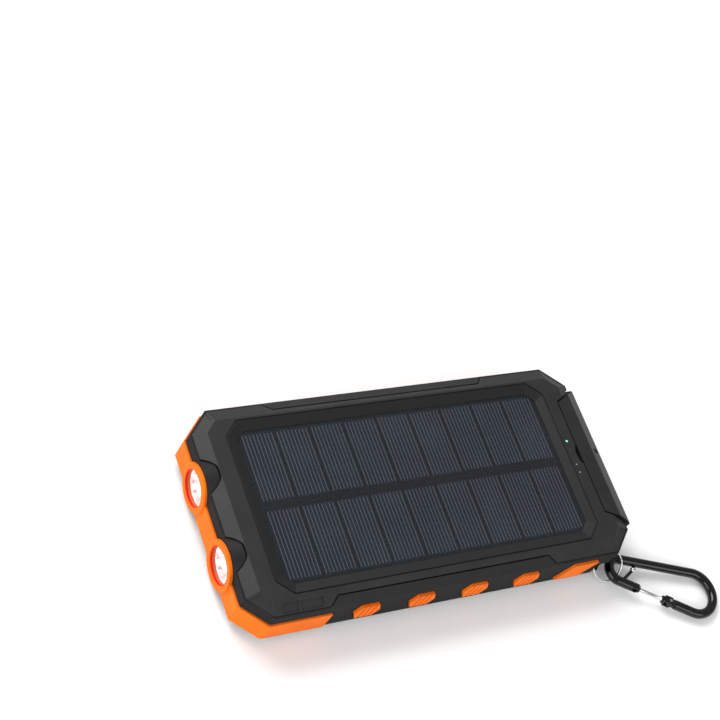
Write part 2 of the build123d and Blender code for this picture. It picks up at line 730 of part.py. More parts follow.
with BuildPart() as front_shell:
    add(slab(FRONT_LINE, HEIGHT))
    rails(Mode.SUBTRACT, gap=SEAM)
    add(seam_ring(FRONT_LINE), mode=Mode.SUBTRACT)
    prism(inset_outline(PLATE_INSET), PLATE_LOW, FRONT_LINE)
    block((BAY_X, -BAY_HALF, 0), (FAR, BAY_HALF, LIP_LOW - GAP), mode=Mode.SUBTRACT)
    prism(mirrored(lip_gap_outline), LIP_LOW - GAP, HEIGHT, mode=Mode.SUBTRACT)
    for y in TORCH_SIDES.values():
        bar_x(HUMP_RADIUS + SEAM, -FAR, HUMP_END_X + SEAM, y, TORCH_Z, mode=Mode.SUBTRACT)
        bar_x(SLEEVE_RADIUS, -FAR, SLEEVE_END_X, y, TORCH_Z, mode=Mode.SUBTRACT)
    add(window_splay.part, mode=Mode.SUBTRACT)
    prism(window_outline(), POCKET_LOW, HEIGHT, mode=Mode.SUBTRACT)
    with BuildSketch(Plane.XY.offset(HEIGHT)) as groove:
        for spread, mode in ((GROOVE_WIDTH, Mode.ADD), (0, Mode.SUBTRACT)):
            Polygon(*window_outline(GROOVE_OFFSET + spread), mode=mode)
    extrude(amount=-GROOVE_DEPTH, mode=Mode.SUBTRACT)
    for x, y in indicator_places:
        bar_z(INDICATOR_RADIUS, PLATE_LOW, HEIGHT, x, y, mode=Mode.SUBTRACT)
    block(
        (PANEL_LEAD_X - LEAD_HOLE, PANEL_LEAD_Y[0] - LEAD_HOLE, PLATE_LOW),
        (PANEL_LEAD_X + LEAD_HOLE, PANEL_LEAD_Y[1] + LEAD_HOLE, POCKET_LOW),
        mode=Mode.SUBTRACT,
    )
    for notch_x, notch_length in NOTCHES:
        middle = (notch_x, -WIDTH / 2 + FRONT_INSET / 2, (FRONT_LINE + HEIGHT) / 2)
        normal = (0, -math.sin(bevel_angle), math.cos(bevel_angle))
        with BuildSketch(Plane(origin=middle, x_dir=(1, 0, 0), z_dir=normal)) as notch:
            Rectangle(notch_length, NOTCH_HEIGHT)
        extrude(notch.sketch, amount=-GROOVE_DEPTH, mode=Mode.SUBTRACT)
    for side_x in (1, -1):
        for side_y in (1, -1):
            with BuildSketch(corner_bevel(side_x, side_y)) as plate:
                Polygon(
                    (-CORNER_PLATE_BASE, CORNER_PLATE_LOW),
                    (CORNER_PLATE_BASE, CORNER_PLATE_LOW),
                    (CORNER_PLATE_TOP, CORNER_PLATE_HIGH),
                    (-CORNER_PLATE_TOP, CORNER_PLATE_HIGH),
                    align=None,
                )
            extrude(plate.sketch, amount=-CORNER_PLATE_DEPTH, mode=Mode.SUBTRACT)
    bar_z(finger_radius, LIP_LOW - GAP, HEIGHT, finger_x, FINGER_Y, mode=Mode.SUBTRACT)
    for x, y in SCREW_PLACES:
        bar_z(BOSS_RADIUS, BOSS_SPLIT, (PLATE_LOW + FRONT_LINE) / 2, x, y)
        bar_z(SHANK_RADIUS, BOSS_SPLIT, PLATE_LOW - BOSS_CAP, x, y, mode=Mode.SUBTRACT)
save("front_shell", front_shell)

# ---------------------------------------------------------------- solar panel stack
board_low = POCKET_LOW + GASKET_THICKNESS
board_top = board_low + BOARD_THICKNESS
with BuildPart() as panel_gasket:
    prism(window_outline(), POCKET_LOW, board_low)
    prism(window_outline(-2 * PANEL_MARGIN), POCKET_LOW, board_low, mode=Mode.SUBTRACT)
save("panel_gasket", panel_gasket)

with BuildPart() as solar_board:
    prism(window_outline(), board_low, board_top)
save("solar_board", solar_board)

cell_field_length = WINDOW_LENGTH - 2 * PANEL_MARGIN
cell_pitch = cell_field_length / CELL_COLUMNS
cell_height = (WINDOW_WIDTH - 2 * PANEL_MARGIN - CENTRE_BAR) / CELL_ROWS
with BuildPart() as solar_cells:
    row_offset = (cell_height + CENTRE_BAR) / 2
    with Locations((PANEL_CENTRE_X, 0, board_top)):
        with GridLocations(cell_pitch, 2 * row_offset, CELL_COLUMNS, CELL_ROWS):
            Box(
                cell_pitch - CELL_GAP,
                cell_height,
                CELL_THICKNESS,
                align=(Align.CENTER, Align.CENTER, Align.MIN),
            )
    prism(window_outline(-PANEL_MARGIN), board_top, PANEL_TOP, mode=Mode.INTERSECT)
save("solar_cells", solar_cells)

with BuildPart() as panel_cover:
    cover_low = board_top + CELL_THICKNESS
    prism(window_outline(), cover_low, PANEL_TOP)
save("panel_cover", panel_cover)

# ---------------------------------------------------------------- indicators
with BuildPart() as light_pipe:
    first = indicator_places[0]
    last = indicator_places[-1]
    block(
        (first[0] - PIPE_MARGIN, first[1] - PIPE_MARGIN, PLATE_LOW - PIPE_FOOT),
        (last[0] + PIPE_MARGIN, last[1] + PIPE_MARGIN, PLATE_LOW),
    )
    for x, y in indicator_places:
        bar_z(INDICATOR_RADIUS, PLATE_LOW, HEIGHT - PIPE_DROP, x, y)
save("light_pipe", light_pipe)

with BuildPart() as indicator_leds:
    for x, y in indicator_places:
        block(
            (x - CHIP_HALF_X, y - CHIP_HALF_Y, BOARD_TOP),
            (x + CHIP_HALF_X, y + CHIP_HALF_Y, BOARD_TOP + CHIP_HEIGHT),
        )
save("indicator_leds", indicator_leds)

# ---------------------------------------------------------------- torches
for side_name, y in TORCH_SIDES.items():
    torch_plane = Plane(origin=(0, y, TORCH_Z), x_dir=(1, 0, 0), z_dir=(0, -1, 0))
    torch_axis = Axis((0, y, TORCH_Z), (1, 0, 0))
    reflector_x = LENS_FRONT_X + LENS_THICKNESS
    with BuildPart() as sleeve:
        bar_x(SLEEVE_RADIUS, BEZEL_ROOT_X, SLEEVE_END_X, y, TORCH_Z)
        bar_x(SLEEVE_BORE, BEZEL_ROOT_X, SLEEVE_END_X, y, TORCH_Z, mode=Mode.SUBTRACT)
    save(f"torch_sleeve_{side_name}", sleeve)

    with BuildPart() as lens:
        bar_x(LENS_RADIUS - LENS_FIT, LENS_FRONT_X, reflector_x, y, TORCH_Z)
    save(f"torch_lens_{side_name}", lens)

    with BuildPart() as reflector:
        with BuildSketch(torch_plane):
            with BuildLine():
                mouth = (reflector_x, REFLECTOR_MOUTH)
                rim = (reflector_x, REFLECTOR_RADIUS)
                flange = (reflector_x + REFLECTOR_FLANGE, REFLECTOR_RADIUS)
                waist = (reflector_x + REFLECTOR_FLANGE, REFLECTOR_WAIST)
                neck = (REFLECTOR_END_X, REFLECTOR_NECK)
                throat = (REFLECTOR_END_X, REFLECTOR_THROAT)
                Polyline(mouth, rim, flange, waist)
                ThreePointArc(waist, REFLECTOR_OUTER, neck)
                Line(neck, throat)
                ThreePointArc(throat, REFLECTOR_INNER, mouth)
            make_face()
        revolve(axis=torch_axis)
    save(f"torch_reflector_{side_name}", reflector)

    with BuildPart() as torch_led:
        bar_x(LED_PLATE_RADIUS, LED_PLATE_X, LED_BACK_X, y, TORCH_Z)
        bar_x(LED_RADIUS, LED_TIP_X, LED_PLATE_X, y, TORCH_Z)
    save(f"torch_led_{side_name}", torch_led)

# ---------------------------------------------------------------- energy store
for side_name, side in (("right", -1), ("left", 1)):
    low_y, high_y = sorted((side * CELL_PACK_INNER_Y, side * CELL_PACK_OUTER_Y))
    with BuildPart() as cell:
        block((CELL_PACK_LOW_X, low_y, CELL_PACK_LOW), (CELL_PACK_HIGH_X, high_y, CELL_PACK_TOP))
        fillet(cell.edges().filter_by(Axis.X), CELL_EDGE)
    save(f"battery_cell_{side_name}", cell)

with BuildPart() as battery_tape:
    for side in (1, -1):
        low_y, high_y = sorted((side * TAPE_INNER_Y, side * TAPE_OUTER_Y))
        block(
            (CELL_PACK_LOW_X + TAPE_MARGIN, low_y, FLOOR),
            (CELL_PACK_HIGH_X - TAPE_MARGIN, high_y, CELL_PACK_LOW),
        )
save("battery_tape", battery_tape)

with BuildPart() as battery_foam:
    block(
        (CELL_PACK_LOW_X + FOAM_MARGIN, -FOAM_HALF, CELL_PACK_TOP),
        (CELL_PACK_HIGH_X - FOAM_MARGIN, FOAM_HALF, PLATE_LOW),
    )
save("battery_foam", battery_foam)

# ---------------------------------------------------------------- circuit board and sockets
with BuildPart() as circuit_board:
    board_half = [(BOARD_LOW_X, BOARD_HALF), (BOARD_CUT_X, BOARD_HALF), (FASCIA_X, BOARD_CUT_Y)]
    prism(mirrored(board_half), BOARD_LOW, BOARD_TOP)
    for x, y in SCREW_PLACES[:2]:
        bar_z(BOSS_RADIUS + GAP, 0, HEIGHT, x, y, mode=Mode.SUBTRACT)
    bar_z(ANCHOR_RADIUS + GAP, 0, HEIGHT, ring_centre.X, ring_centre.Y, mode=Mode.SUBTRACT)
save("circuit_board", circuit_board)

sockets = {
    "usb_a_right": (-USB_Y, USB_WIDTH, USB_HEIGHT, USB_DEPTH),
    "usb_a_left": (USB_Y, USB_WIDTH, USB_HEIGHT, USB_DEPTH),
    "micro_usb": (0.0, MICRO_WIDTH, MICRO_HEIGHT, MICRO_DEPTH),
}
for socket_name, (y, width, height, depth) in sockets.items():
    socket_z = BOARD_TOP + height / 2
    with BuildPart() as shell:
        block((BAY_X - depth, y - width / 2, BOARD_TOP), (BAY_X, y + width / 2, BOARD_TOP + height))
        block(
            (BAY_X - depth + SHEET_METAL, y - width / 2 + SHEET_METAL, BOARD_TOP + SHEET_METAL),
            (BAY_X, y + width / 2 - SHEET_METAL, BOARD_TOP + height - SHEET_METAL),
            mode=Mode.SUBTRACT,
        )
    save(f"{socket_name}_shell", shell)
    with BuildPart() as tongue:
        block(
            (BAY_X - depth + SHEET_METAL, y - width / 2 + SHEET_METAL, BOARD_TOP + SHEET_METAL),
            (BAY_X - depth + SOCKET_BACK, y + width / 2 - SHEET_METAL, BOARD_TOP + height - SHEET_METAL),
        )
        tongue_z = socket_z + height * TONGUE_LIFT_SHARE
        half_width = width * TONGUE_WIDTH_SHARE
        block(
            (BAY_X - depth + SOCKET_BACK, y - half_width, tongue_z),
            (BAY_X - TONGUE_SETBACK, y + half_width, tongue_z + height * TONGUE_HEIGHT_SHARE),
        )
    save(f"{socket_name}_tongue", tongue)

with BuildPart() as port_fascia:
    block((FASCIA_X, -BAY_HALF, FLOOR), (BAY_X, BAY_HALF, PLATE_LOW))
    for y, width, height, depth in sockets.values():
        low = (FASCIA_X, y - width / 2, BOARD_TOP)
        block(low, (BAY_X, y + width / 2, BOARD_TOP + height), mode=Mode.SUBTRACT)
    bar_y(LUG_RADIUS, -BAY_HALF, BAY_HALF, AXIS_X, AXIS_Z, mode=Mode.SUBTRACT)
    for side in (1, -1):
        low_y, high_y = sorted((side * LUG_LOW_Y, side * BAY_HALF))
        block((FASCIA_X, low_y, 0), (BAY_X, high_y, AXIS_Z + LUG_RADIUS), mode=Mode.SUBTRACT)
save("port_fascia", port_fascia)

# ---------------------------------------------------------------- power button
with BuildPart() as power_button:
    flange_low_y = WIDTH / 2 - WALL_INSET + (WALL_INSET - SKIN) / 5
    flange_high_y = WIDTH / 2 - SKIN - GAP
    block(
        (BUTTON_LOW_X, flange_high_y, BUTTON_LOW_Z),
        (BUTTON_HIGH_X, WIDTH / 2 + BUTTON_OUT, BUTTON_HIGH_Z),
    )
    fillet(power_button.edges().group_by(Axis.Y)[-1], BUTTON_EDGE)
    block(
        (BUTTON_LOW_X - FLANGE, flange_low_y, BUTTON_LOW_Z - FLANGE),
        (BUTTON_HIGH_X + FLANGE, flange_high_y, BUTTON_HIGH_Z + FLANGE),
    )
save("power_button", power_button)

with BuildPart() as power_switch:
    switch_x = (SWITCH_LOW_X + SWITCH_HIGH_X) / 2
    switch_z = (BUTTON_LOW_Z + BUTTON_HIGH_Z) / 2
    switch_top = switch_z + SWITCH_TIP_RADIUS + GAP
    block((SWITCH_LOW_X, SWITCH_LOW_Y, BOARD_TOP), (SWITCH_HIGH_X, SWITCH_HIGH_Y, switch_top))
    bar_y(SWITCH_TIP_RADIUS, SWITCH_HIGH_Y, SWITCH_TIP_Y, switch_x, switch_z)
save("power_switch", power_switch)

# ---------------------------------------------------------------- compass
with BuildPart() as compass_bezel:
    bar_z(COMPASS_RADIUS, BEZEL_LOW, BEZEL_TOP, COMPASS_X, 0)
    bar_z(CAPSULE_BORE + SHELL_STEP, BEZEL_LOW, BEZEL_TOP, COMPASS_X, 0, mode=Mode.SUBTRACT)
    chamfer(compass_bezel.edges().group_by(Axis.Z)[0], BEZEL_CHAMFER)
save("compass_bezel", compass_bezel)

dome_edge = CAPSULE_BORE + SHELL_STEP
dome_radius = (dome_edge ** 2 + DOME_RISE ** 2) / (2 * DOME_RISE)
dome_middle = LENS_LOW + dome_radius - math.sqrt(dome_radius ** 2 - (dome_edge / 2) ** 2)
dome_rim = (dome_edge, LENS_LOW + DOME_RISE)
with BuildPart() as compass_lens:
    with BuildSketch(Plane(origin=(COMPASS_X, 0, 0), x_dir=(1, 0, 0), z_dir=(0, -1, 0))):
        with BuildLine():
            Polyline((0, LENS_LOW), (0, BEZEL_TOP), (dome_edge, BEZEL_TOP), dome_rim)
            ThreePointArc(dome_rim, (dome_edge / 2, dome_middle), (0, LENS_LOW))
        make_face()
    revolve(axis=Axis((COMPASS_X, 0, 0), (0, 0, 1)))
save("compass_lens", compass_lens)

with BuildPart() as compass_capsule:
    bar_z(CAPSULE_RADIUS, BEZEL_TOP, CAPSULE_TOP, COMPASS_X, 0)
    bar_z(CAPSULE_BORE, BEZEL_TOP, CAPSULE_TOP - 1, COMPASS_X, 0, mode=Mode.SUBTRACT)
save("compass_capsule", compass_capsule)

with BuildPart() as compass_pivot:
    bar_z(PIVOT_RADIUS, BEZEL_TOP + PLAQUE_FACE, CAPSULE_TOP - 1, COMPASS_X, 0)
save("compass_pivot", compass_pivot)

with BuildPart() as compass_dial:
    bar_z(DIAL_RADIUS, DIAL_LOW + GAP, DIAL_LOW + GAP + DIAL_THICKNESS, COMPASS_X, 0)
    bar_z(HUB_RADIUS, DIAL_LOW - HUB_DROP, DIAL_LOW + GAP, COMPASS_X, 0)
    bar_z(PIVOT_RADIUS + PIVOT_RUNNING, 0, CAPSULE_TOP, COMPASS_X, 0, mode=Mode.SUBTRACT)
save("compass_dial", compass_dial)

# ---------------------------------------------------------------- grip panels and plaque on the back
with BuildPart() as centre_grip:
    prism(mirrored(centre_grip_outline), PANEL_FACE, PANEL_POCKET)
save("centre_grip", centre_grip)

for side_name, side in (("right", -1), ("left", 1)):
    with BuildPart() as side_grip:
        prism([(x, side * y) for x, y in side_grip_outline], PANEL_FACE, PANEL_POCKET)
    save(f"side_grip_{side_name}", side_grip)

with BuildPart() as back_plaque:
    prism(mirrored(plaque_outline), PLAQUE_FACE, PANEL_POCKET)
    chamfer(back_plaque.edges().group_by(Axis.Z)[0], PLAQUE_CHAMFER)
save("back_plaque", back_plaque)

# ---------------------------------------------------------------- screws and plugs
with BuildPart() as case_screws:
    for x, y in SCREW_PLACES:
        bar_z(HEAD_RADIUS - PIVOT_RUNNING, HEAD_LOW, HEAD_TOP, x, y)
        bar_z(SHANK_RADIUS - SHANK_FIT, HEAD_TOP, PLATE_LOW - COVER_WALL, x, y)
        for half_x, half_y in ((DRIVE_LENGTH, DRIVE_HALF), (DRIVE_HALF, DRIVE_LENGTH)):
            low = (x - half_x, y - half_y, 0)
            block(low, (x + half_x, y + half_y, HEAD_LOW + DRIVE_DEPTH), mode=Mode.SUBTRACT)
save("case_screws", case_screws)

with BuildPart() as screw_plugs:
    for x, y in SCREW_PLACES:
        bar_z(PLUG_RADIUS - SHANK_FIT, PLUG_FACE, PLUG_THICKNESS, x, y)
save("screw_plugs", screw_plugs)

# ---------------------------------------------------------------- port cover and its pin
with BuildPart() as lip:
    cross_prism(
        [
            (LIP_X, LIP_LOW),
            (COVER_INNER_X, LIP_LOW),
            (COVER_INNER_X, COVER_HIGH - SLOP),
            (COVER_OUTER_X, COVER_HIGH - SLOP),
            (COVER_OUTER_X, COVER_RIDGE_Z),
            (COVER_RIDGE_X, HEIGHT),
            (LIP_X, HEIGHT),
        ],
        COVER_HALF,
    )
    prism(mirrored(lip_half_outline), 0, HEIGHT, mode=Mode.INTERSECT)
    block(
        (LATCH_MARK_X, LATCH_MARK_Y[0], LATCH_MARK_Z),
        (FAR, LATCH_MARK_Y[1], HEIGHT),
        mode=Mode.SUBTRACT,
    )

with BuildPart() as port_cover:
    block((COVER_INNER_X, -COVER_HALF, COVER_LOW), (COVER_OUTER_X, COVER_HALF, COVER_HIGH))
    add(lip.part)
    cross_prism(
        [
            (COVER_INNER_X, COVER_LOW + GAP),
            (COVER_INNER_X, COVER_NECK_Z),
            (AXIS_X, COVER_NECK_Z - GAP),
            (COVER_NECK_X, COVER_SKIRT_Z),
            (COVER_SKIRT_X, COVER_SKIRT_Z),
            (COVER_OUTER_X, COVER_LOW - 2 * GAP),
            (COVER_OUTER_X, COVER_LOW + GAP),
        ],
        KNUCKLE_HALF,
    )
    bar_y(KNUCKLE_RADIUS, -KNUCKLE_HALF, KNUCKLE_HALF, AXIS_X, AXIS_Z)
    block(
        (COVER_INNER_X, -COVER_HALF + COVER_WALL, SEAL_LOW_Z),
        (COVER_OUTER_X - COVER_WALL, COVER_HALF - COVER_WALL, SEAL_HIGH_Z),
        mode=Mode.SUBTRACT,
    )
    bar_y(PIN_RADIUS + PIN_RUNNING, -FAR, FAR, AXIS_X, AXIS_Z, mode=Mode.SUBTRACT)
save("port_cover", port_cover)

with BuildPart() as port_seal:
    block(
        (SEAL_LOW_X, -COVER_HALF + COVER_WALL, SEAL_LOW_Z),
        (COVER_OUTER_X - COVER_WALL, COVER_HALF - COVER_WALL, SEAL_HIGH_Z),
    )
    for y, width, height, depth in sockets.values():
        block(
            (COVER_INNER_X + SHELL_STEP, y - width / 2 + PLUG_SLACK, BOARD_TOP + 2 * SHEET_METAL),
            (SEAL_LOW_X, y + width / 2 - PLUG_SLACK, BOARD_TOP + height - 2 * SHEET_METAL),
        )
save("port_seal", port_seal)

with BuildPart() as cover_pin:
    bar_y(PIN_RADIUS - PIN_FIT, -PIN_HALF, PIN_HALF, AXIS_X, AXIS_Z)
save("cover_pin", cover_pin)

# ---------------------------------------------------------------- corner anchor with its post
with BuildPart() as lanyard_anchor:
    add(anchor_blank.part)
    corner_slot()
    bar_z(POST_RADIUS, SLOT_LOW, SLOT_TOP, POST_X, POST_Y)
    bar_z(BOSS_RADIUS, 0, HEIGHT, SCREW_PLACES[1][0], SCREW_PLACES[1][1], mode=Mode.SUBTRACT)
save("lanyard_anchor", lanyard_anchor)

# ---------------------------------------------------------------- split ring
with BuildPart() as split_ring:
    with BuildSketch(Plane(origin=ring_centre + ring_out * RING_RADIUS, x_dir=ring_out, z_dir=ring_side)):
        Circle(RING_WIRE)
    revolve(axis=Axis(ring_centre, ring_normal))
save("split_ring", split_ring)

# ---------------------------------------------------------------- carabiner
hook_slope = math.asin((HOOK_FAR_RADIUS - HOOK_NEAR_RADIUS) / (HOOK_FAR_U - HOOK_NEAR_U))
near_tangent_u = HOOK_NEAR_U - HOOK_NEAR_RADIUS * math.sin(hook_slope)
far_tangent_u = HOOK_FAR_U - HOOK_FAR_RADIUS * math.sin(hook_slope)


def leg_point(u, side):
    """A point on a straight leg of the carabiner's centre line, in its own plane."""
    near_v = HOOK_NEAR_RADIUS * math.cos(hook_slope)
    return (u, side * (near_v + (u - near_tangent_u) * math.tan(hook_slope)))


def hook_point(u, side):
    """The same point in the case's frame."""
    local_u, local_v = leg_point(u, side)
    return hook_plane.origin + hook_plane.x_dir * local_u + hook_plane.y_dir * local_v


gate_axis = (hook_point(GATE_NOSE_U, -1) - hook_point(GATE_HINGE_U, -1)).normalized()
pivot = hook_point(GATE_HINGE_U, -1)
nose = hook_point(GATE_NOSE_U, -1)
shoulder = pivot - gate_axis * (GATE_ROD + 2 * GAP)
gate_length = (nose - pivot).length - GAP
across_gate = hook_plane.z_dir.cross(gate_axis)


def gate_bar(start, length, radius, mode=Mode.ADD):
    """A round bar along the gate's line, from a point towards the nose."""
    with BuildSketch(Plane(origin=start, x_dir=across_gate, z_dir=gate_axis)) as section:
        Circle(radius)
    extrude(section.sketch, amount=length, mode=mode)


def pivot_bar(radius, half_length, mode=Mode.ADD):
    """A round bar on the gate's pivot, across the carabiner's plane."""
    with BuildSketch(Plane(origin=pivot, x_dir=gate_axis, z_dir=hook_plane.z_dir)) as section:
        Circle(radius)
    extrude(section.sketch, amount=half_length, both=True, mode=mode)


def flat_tongue(start, length, half_width, half_thickness, mode=Mode.ADD):
    """A flat bar along the gate's line, lying in the carabiner's plane."""
    with BuildSketch(Plane(origin=start, x_dir=gate_axis, z_dir=hook_plane.z_dir)) as outline:
        Rectangle(length, 2 * half_width, align=(Align.MIN, Align.CENTER))
    extrude(outline.sketch, amount=half_thickness, both=True, mode=mode)


with BuildPart() as carabiner_body:
    far_low, far_high = leg_point(far_tangent_u, -1), leg_point(far_tangent_u, 1)
    near_low, near_high = leg_point(near_tangent_u, -1), leg_point(near_tangent_u, 1)
    with BuildLine(hook_plane) as hook_path:
        Line(leg_point(GATE_HINGE_U + GATE_ROD + 2 * GAP, -1), far_low)
        ThreePointArc(far_low, (HOOK_FAR_U + HOOK_FAR_RADIUS, 0), far_high)
        Line(far_high, near_high)
        ThreePointArc(near_high, (HOOK_NEAR_U - HOOK_NEAR_RADIUS, 0), near_low)
        Line(near_low, leg_point(GATE_NOSE_U, -1))
    with BuildSketch(Plane(origin=hook_path.wire() @ 0, x_dir=across_gate, z_dir=hook_path.wire() % 0)):
        Circle(HOOK_ROD)
    sweep(path=hook_path.wire())
    tongue_length = GATE_ROD + 2 * GAP + ROOT_OVERLAP
    flat_tongue(shoulder - gate_axis * ROOT_OVERLAP, tongue_length, TONGUE_HALF_WIDTH, TONGUE_HALF)
    pivot_bar(TONGUE_HALF_WIDTH, TONGUE_HALF)
    pivot_bar(RIVET_RADIUS, HOOK_ROD, mode=Mode.SUBTRACT)
    gate_bar(nose - gate_axis * LATCH_LENGTH, LATCH_LENGTH + ROOT_OVERLAP, LATCH_RADIUS)
save("carabiner_body", carabiner_body)

with BuildPart() as carabiner_gate:
    gate_bar(pivot, gate_length, GATE_ROD)
    pivot_bar(GATE_ROD, GATE_ROD)
    slot_half = TONGUE_HALF + GAP
    slot_start = pivot - gate_axis * GATE_SLOT_REACH
    slot_length = GATE_SLOT_REACH + TONGUE_HALF_WIDTH + GAP
    flat_tongue(slot_start, slot_length, GATE_SLOT_REACH, slot_half, mode=Mode.SUBTRACT)
    latch_room = LATCH_LENGTH + GAP
    latch_start = nose - gate_axis * latch_room
    flat_tongue(latch_start, latch_room, GATE_SLOT_REACH, LATCH_RADIUS + GAP, mode=Mode.SUBTRACT)
    pivot_bar(RIVET_RADIUS + PIVOT_RUNNING, HOOK_ROD, mode=Mode.SUBTRACT)
save("carabiner_gate", carabiner_gate)

with BuildPart() as gate_rivet:
    pivot_bar(RIVET_RADIUS - PIN_FIT, GATE_ROD + RIVET_PROUD)
save("gate_rivet", gate_rivet)

# ---------------------------------------------------------------- internal leads


def lead(points, bend):
    """An insulated wire along straight runs joined by arcs."""
    with BuildLine() as route:
        FilletPolyline(*points, radius=bend)
    first_run = Vector(*points[1]) - Vector(*points[0])
    with BuildSketch(Plane(origin=points[0], z_dir=first_run)) as section:
        Circle(LEAD_RADIUS)
    sweep(section.sketch, path=route.line)


with BuildPart() as torch_leads:
    for side in (1, -1):
        lead(
            [
                (LED_BACK_X, side * TORCH_Y, TORCH_Z),
                (TORCH_LEAD_X[0], side * TORCH_Y, TORCH_Z),
                (TORCH_LEAD_X[1], side * LEAD_CHANNEL_Y, TORCH_Z),
                (TORCH_LEAD_X[2], side * LEAD_CHANNEL_Y, TORCH_Z),
                (TORCH_LEAD_X[3], side * LEAD_END_Y, BOARD_TOP + LEAD_RADIUS),
                (TORCH_LEAD_X[4], side * LEAD_END_Y, BOARD_TOP + LEAD_RADIUS),
            ],
            TORCH_LEAD_BEND,
        )
save("torch_leads", torch_leads)

with BuildPart() as battery_leads:
    for y in BATTERY_LEAD_Y:
        lead(
            [
                (BATTERY_LEAD_X[0], y, BATTERY_LEAD_Z),
                (BATTERY_LEAD_X[1], y, BATTERY_LEAD_Z),
                (BATTERY_LEAD_X[2], y, BOARD_TOP + LEAD_RADIUS),
                (BATTERY_LEAD_X[3], y, BOARD_TOP + LEAD_RADIUS),
            ],
            BATTERY_LEAD_BEND,
        )
save("battery_leads", battery_leads)

with BuildPart() as panel_leads:
    for y in PANEL_LEAD_Y:
        bar_z(LEAD_RADIUS, BOARD_TOP, board_low, PANEL_LEAD_X, y)
save("panel_leads", panel_leads)
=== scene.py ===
import json
import math

import bmesh
import bpy
from mathutils import Matrix, Vector


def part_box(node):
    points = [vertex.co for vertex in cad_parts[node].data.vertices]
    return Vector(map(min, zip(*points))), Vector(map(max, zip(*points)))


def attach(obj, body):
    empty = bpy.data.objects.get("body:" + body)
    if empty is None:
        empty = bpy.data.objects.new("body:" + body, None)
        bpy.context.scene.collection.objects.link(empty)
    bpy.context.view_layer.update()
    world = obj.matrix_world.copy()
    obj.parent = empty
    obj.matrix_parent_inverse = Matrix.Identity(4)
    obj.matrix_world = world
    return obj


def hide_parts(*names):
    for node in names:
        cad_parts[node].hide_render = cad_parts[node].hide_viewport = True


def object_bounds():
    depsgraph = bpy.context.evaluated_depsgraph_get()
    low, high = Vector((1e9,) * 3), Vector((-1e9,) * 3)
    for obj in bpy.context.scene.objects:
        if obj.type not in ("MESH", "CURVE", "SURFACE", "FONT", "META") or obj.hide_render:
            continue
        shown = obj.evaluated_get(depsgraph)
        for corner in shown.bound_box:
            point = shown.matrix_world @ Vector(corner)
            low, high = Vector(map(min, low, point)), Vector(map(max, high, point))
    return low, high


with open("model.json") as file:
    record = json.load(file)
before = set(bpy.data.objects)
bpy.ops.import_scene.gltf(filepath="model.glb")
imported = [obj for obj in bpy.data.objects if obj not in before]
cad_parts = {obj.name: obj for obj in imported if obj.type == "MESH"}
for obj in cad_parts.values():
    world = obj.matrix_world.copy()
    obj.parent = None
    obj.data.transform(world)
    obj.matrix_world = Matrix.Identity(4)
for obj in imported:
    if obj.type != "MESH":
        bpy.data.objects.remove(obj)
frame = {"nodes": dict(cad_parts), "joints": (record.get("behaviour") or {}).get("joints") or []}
CAD_BOX = [list(corner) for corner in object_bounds()]

MM = 0.001
WELD = 0.001 * MM  # points nearer than this are joined

# Camera, as the photograph sees the object
CAMERA_AZIMUTH = math.radians(-49.78)
CAMERA_ELEVATION = math.radians(50.46)
CAMERA_ROLL = math.radians(35.89)
CAMERA_AIM = Vector((0.98, 53.7, 10.0)) * MM
CAMERA_DISTANCE = 605.6 * MM
CAMERA_LENS = 85.5
SENSOR = 36.0
CLIP_START = 0.01
CLIP_END = 20.0

NODES = frame["nodes"]
FRAME_WIDTH = 3.5 * MM  # painted shade: width of the darkened strip of the front shell round the solar window
FRAME_CORNER = 5.2 * MM  # cut across each corner of that strip


# ---------------------------------------------------------------- materials

WALL_SLOPE = 0.35  # upward share of a face's normal below which it counts as a wall
FLAT_SLOPE = 0.75  # and above which it counts as flat


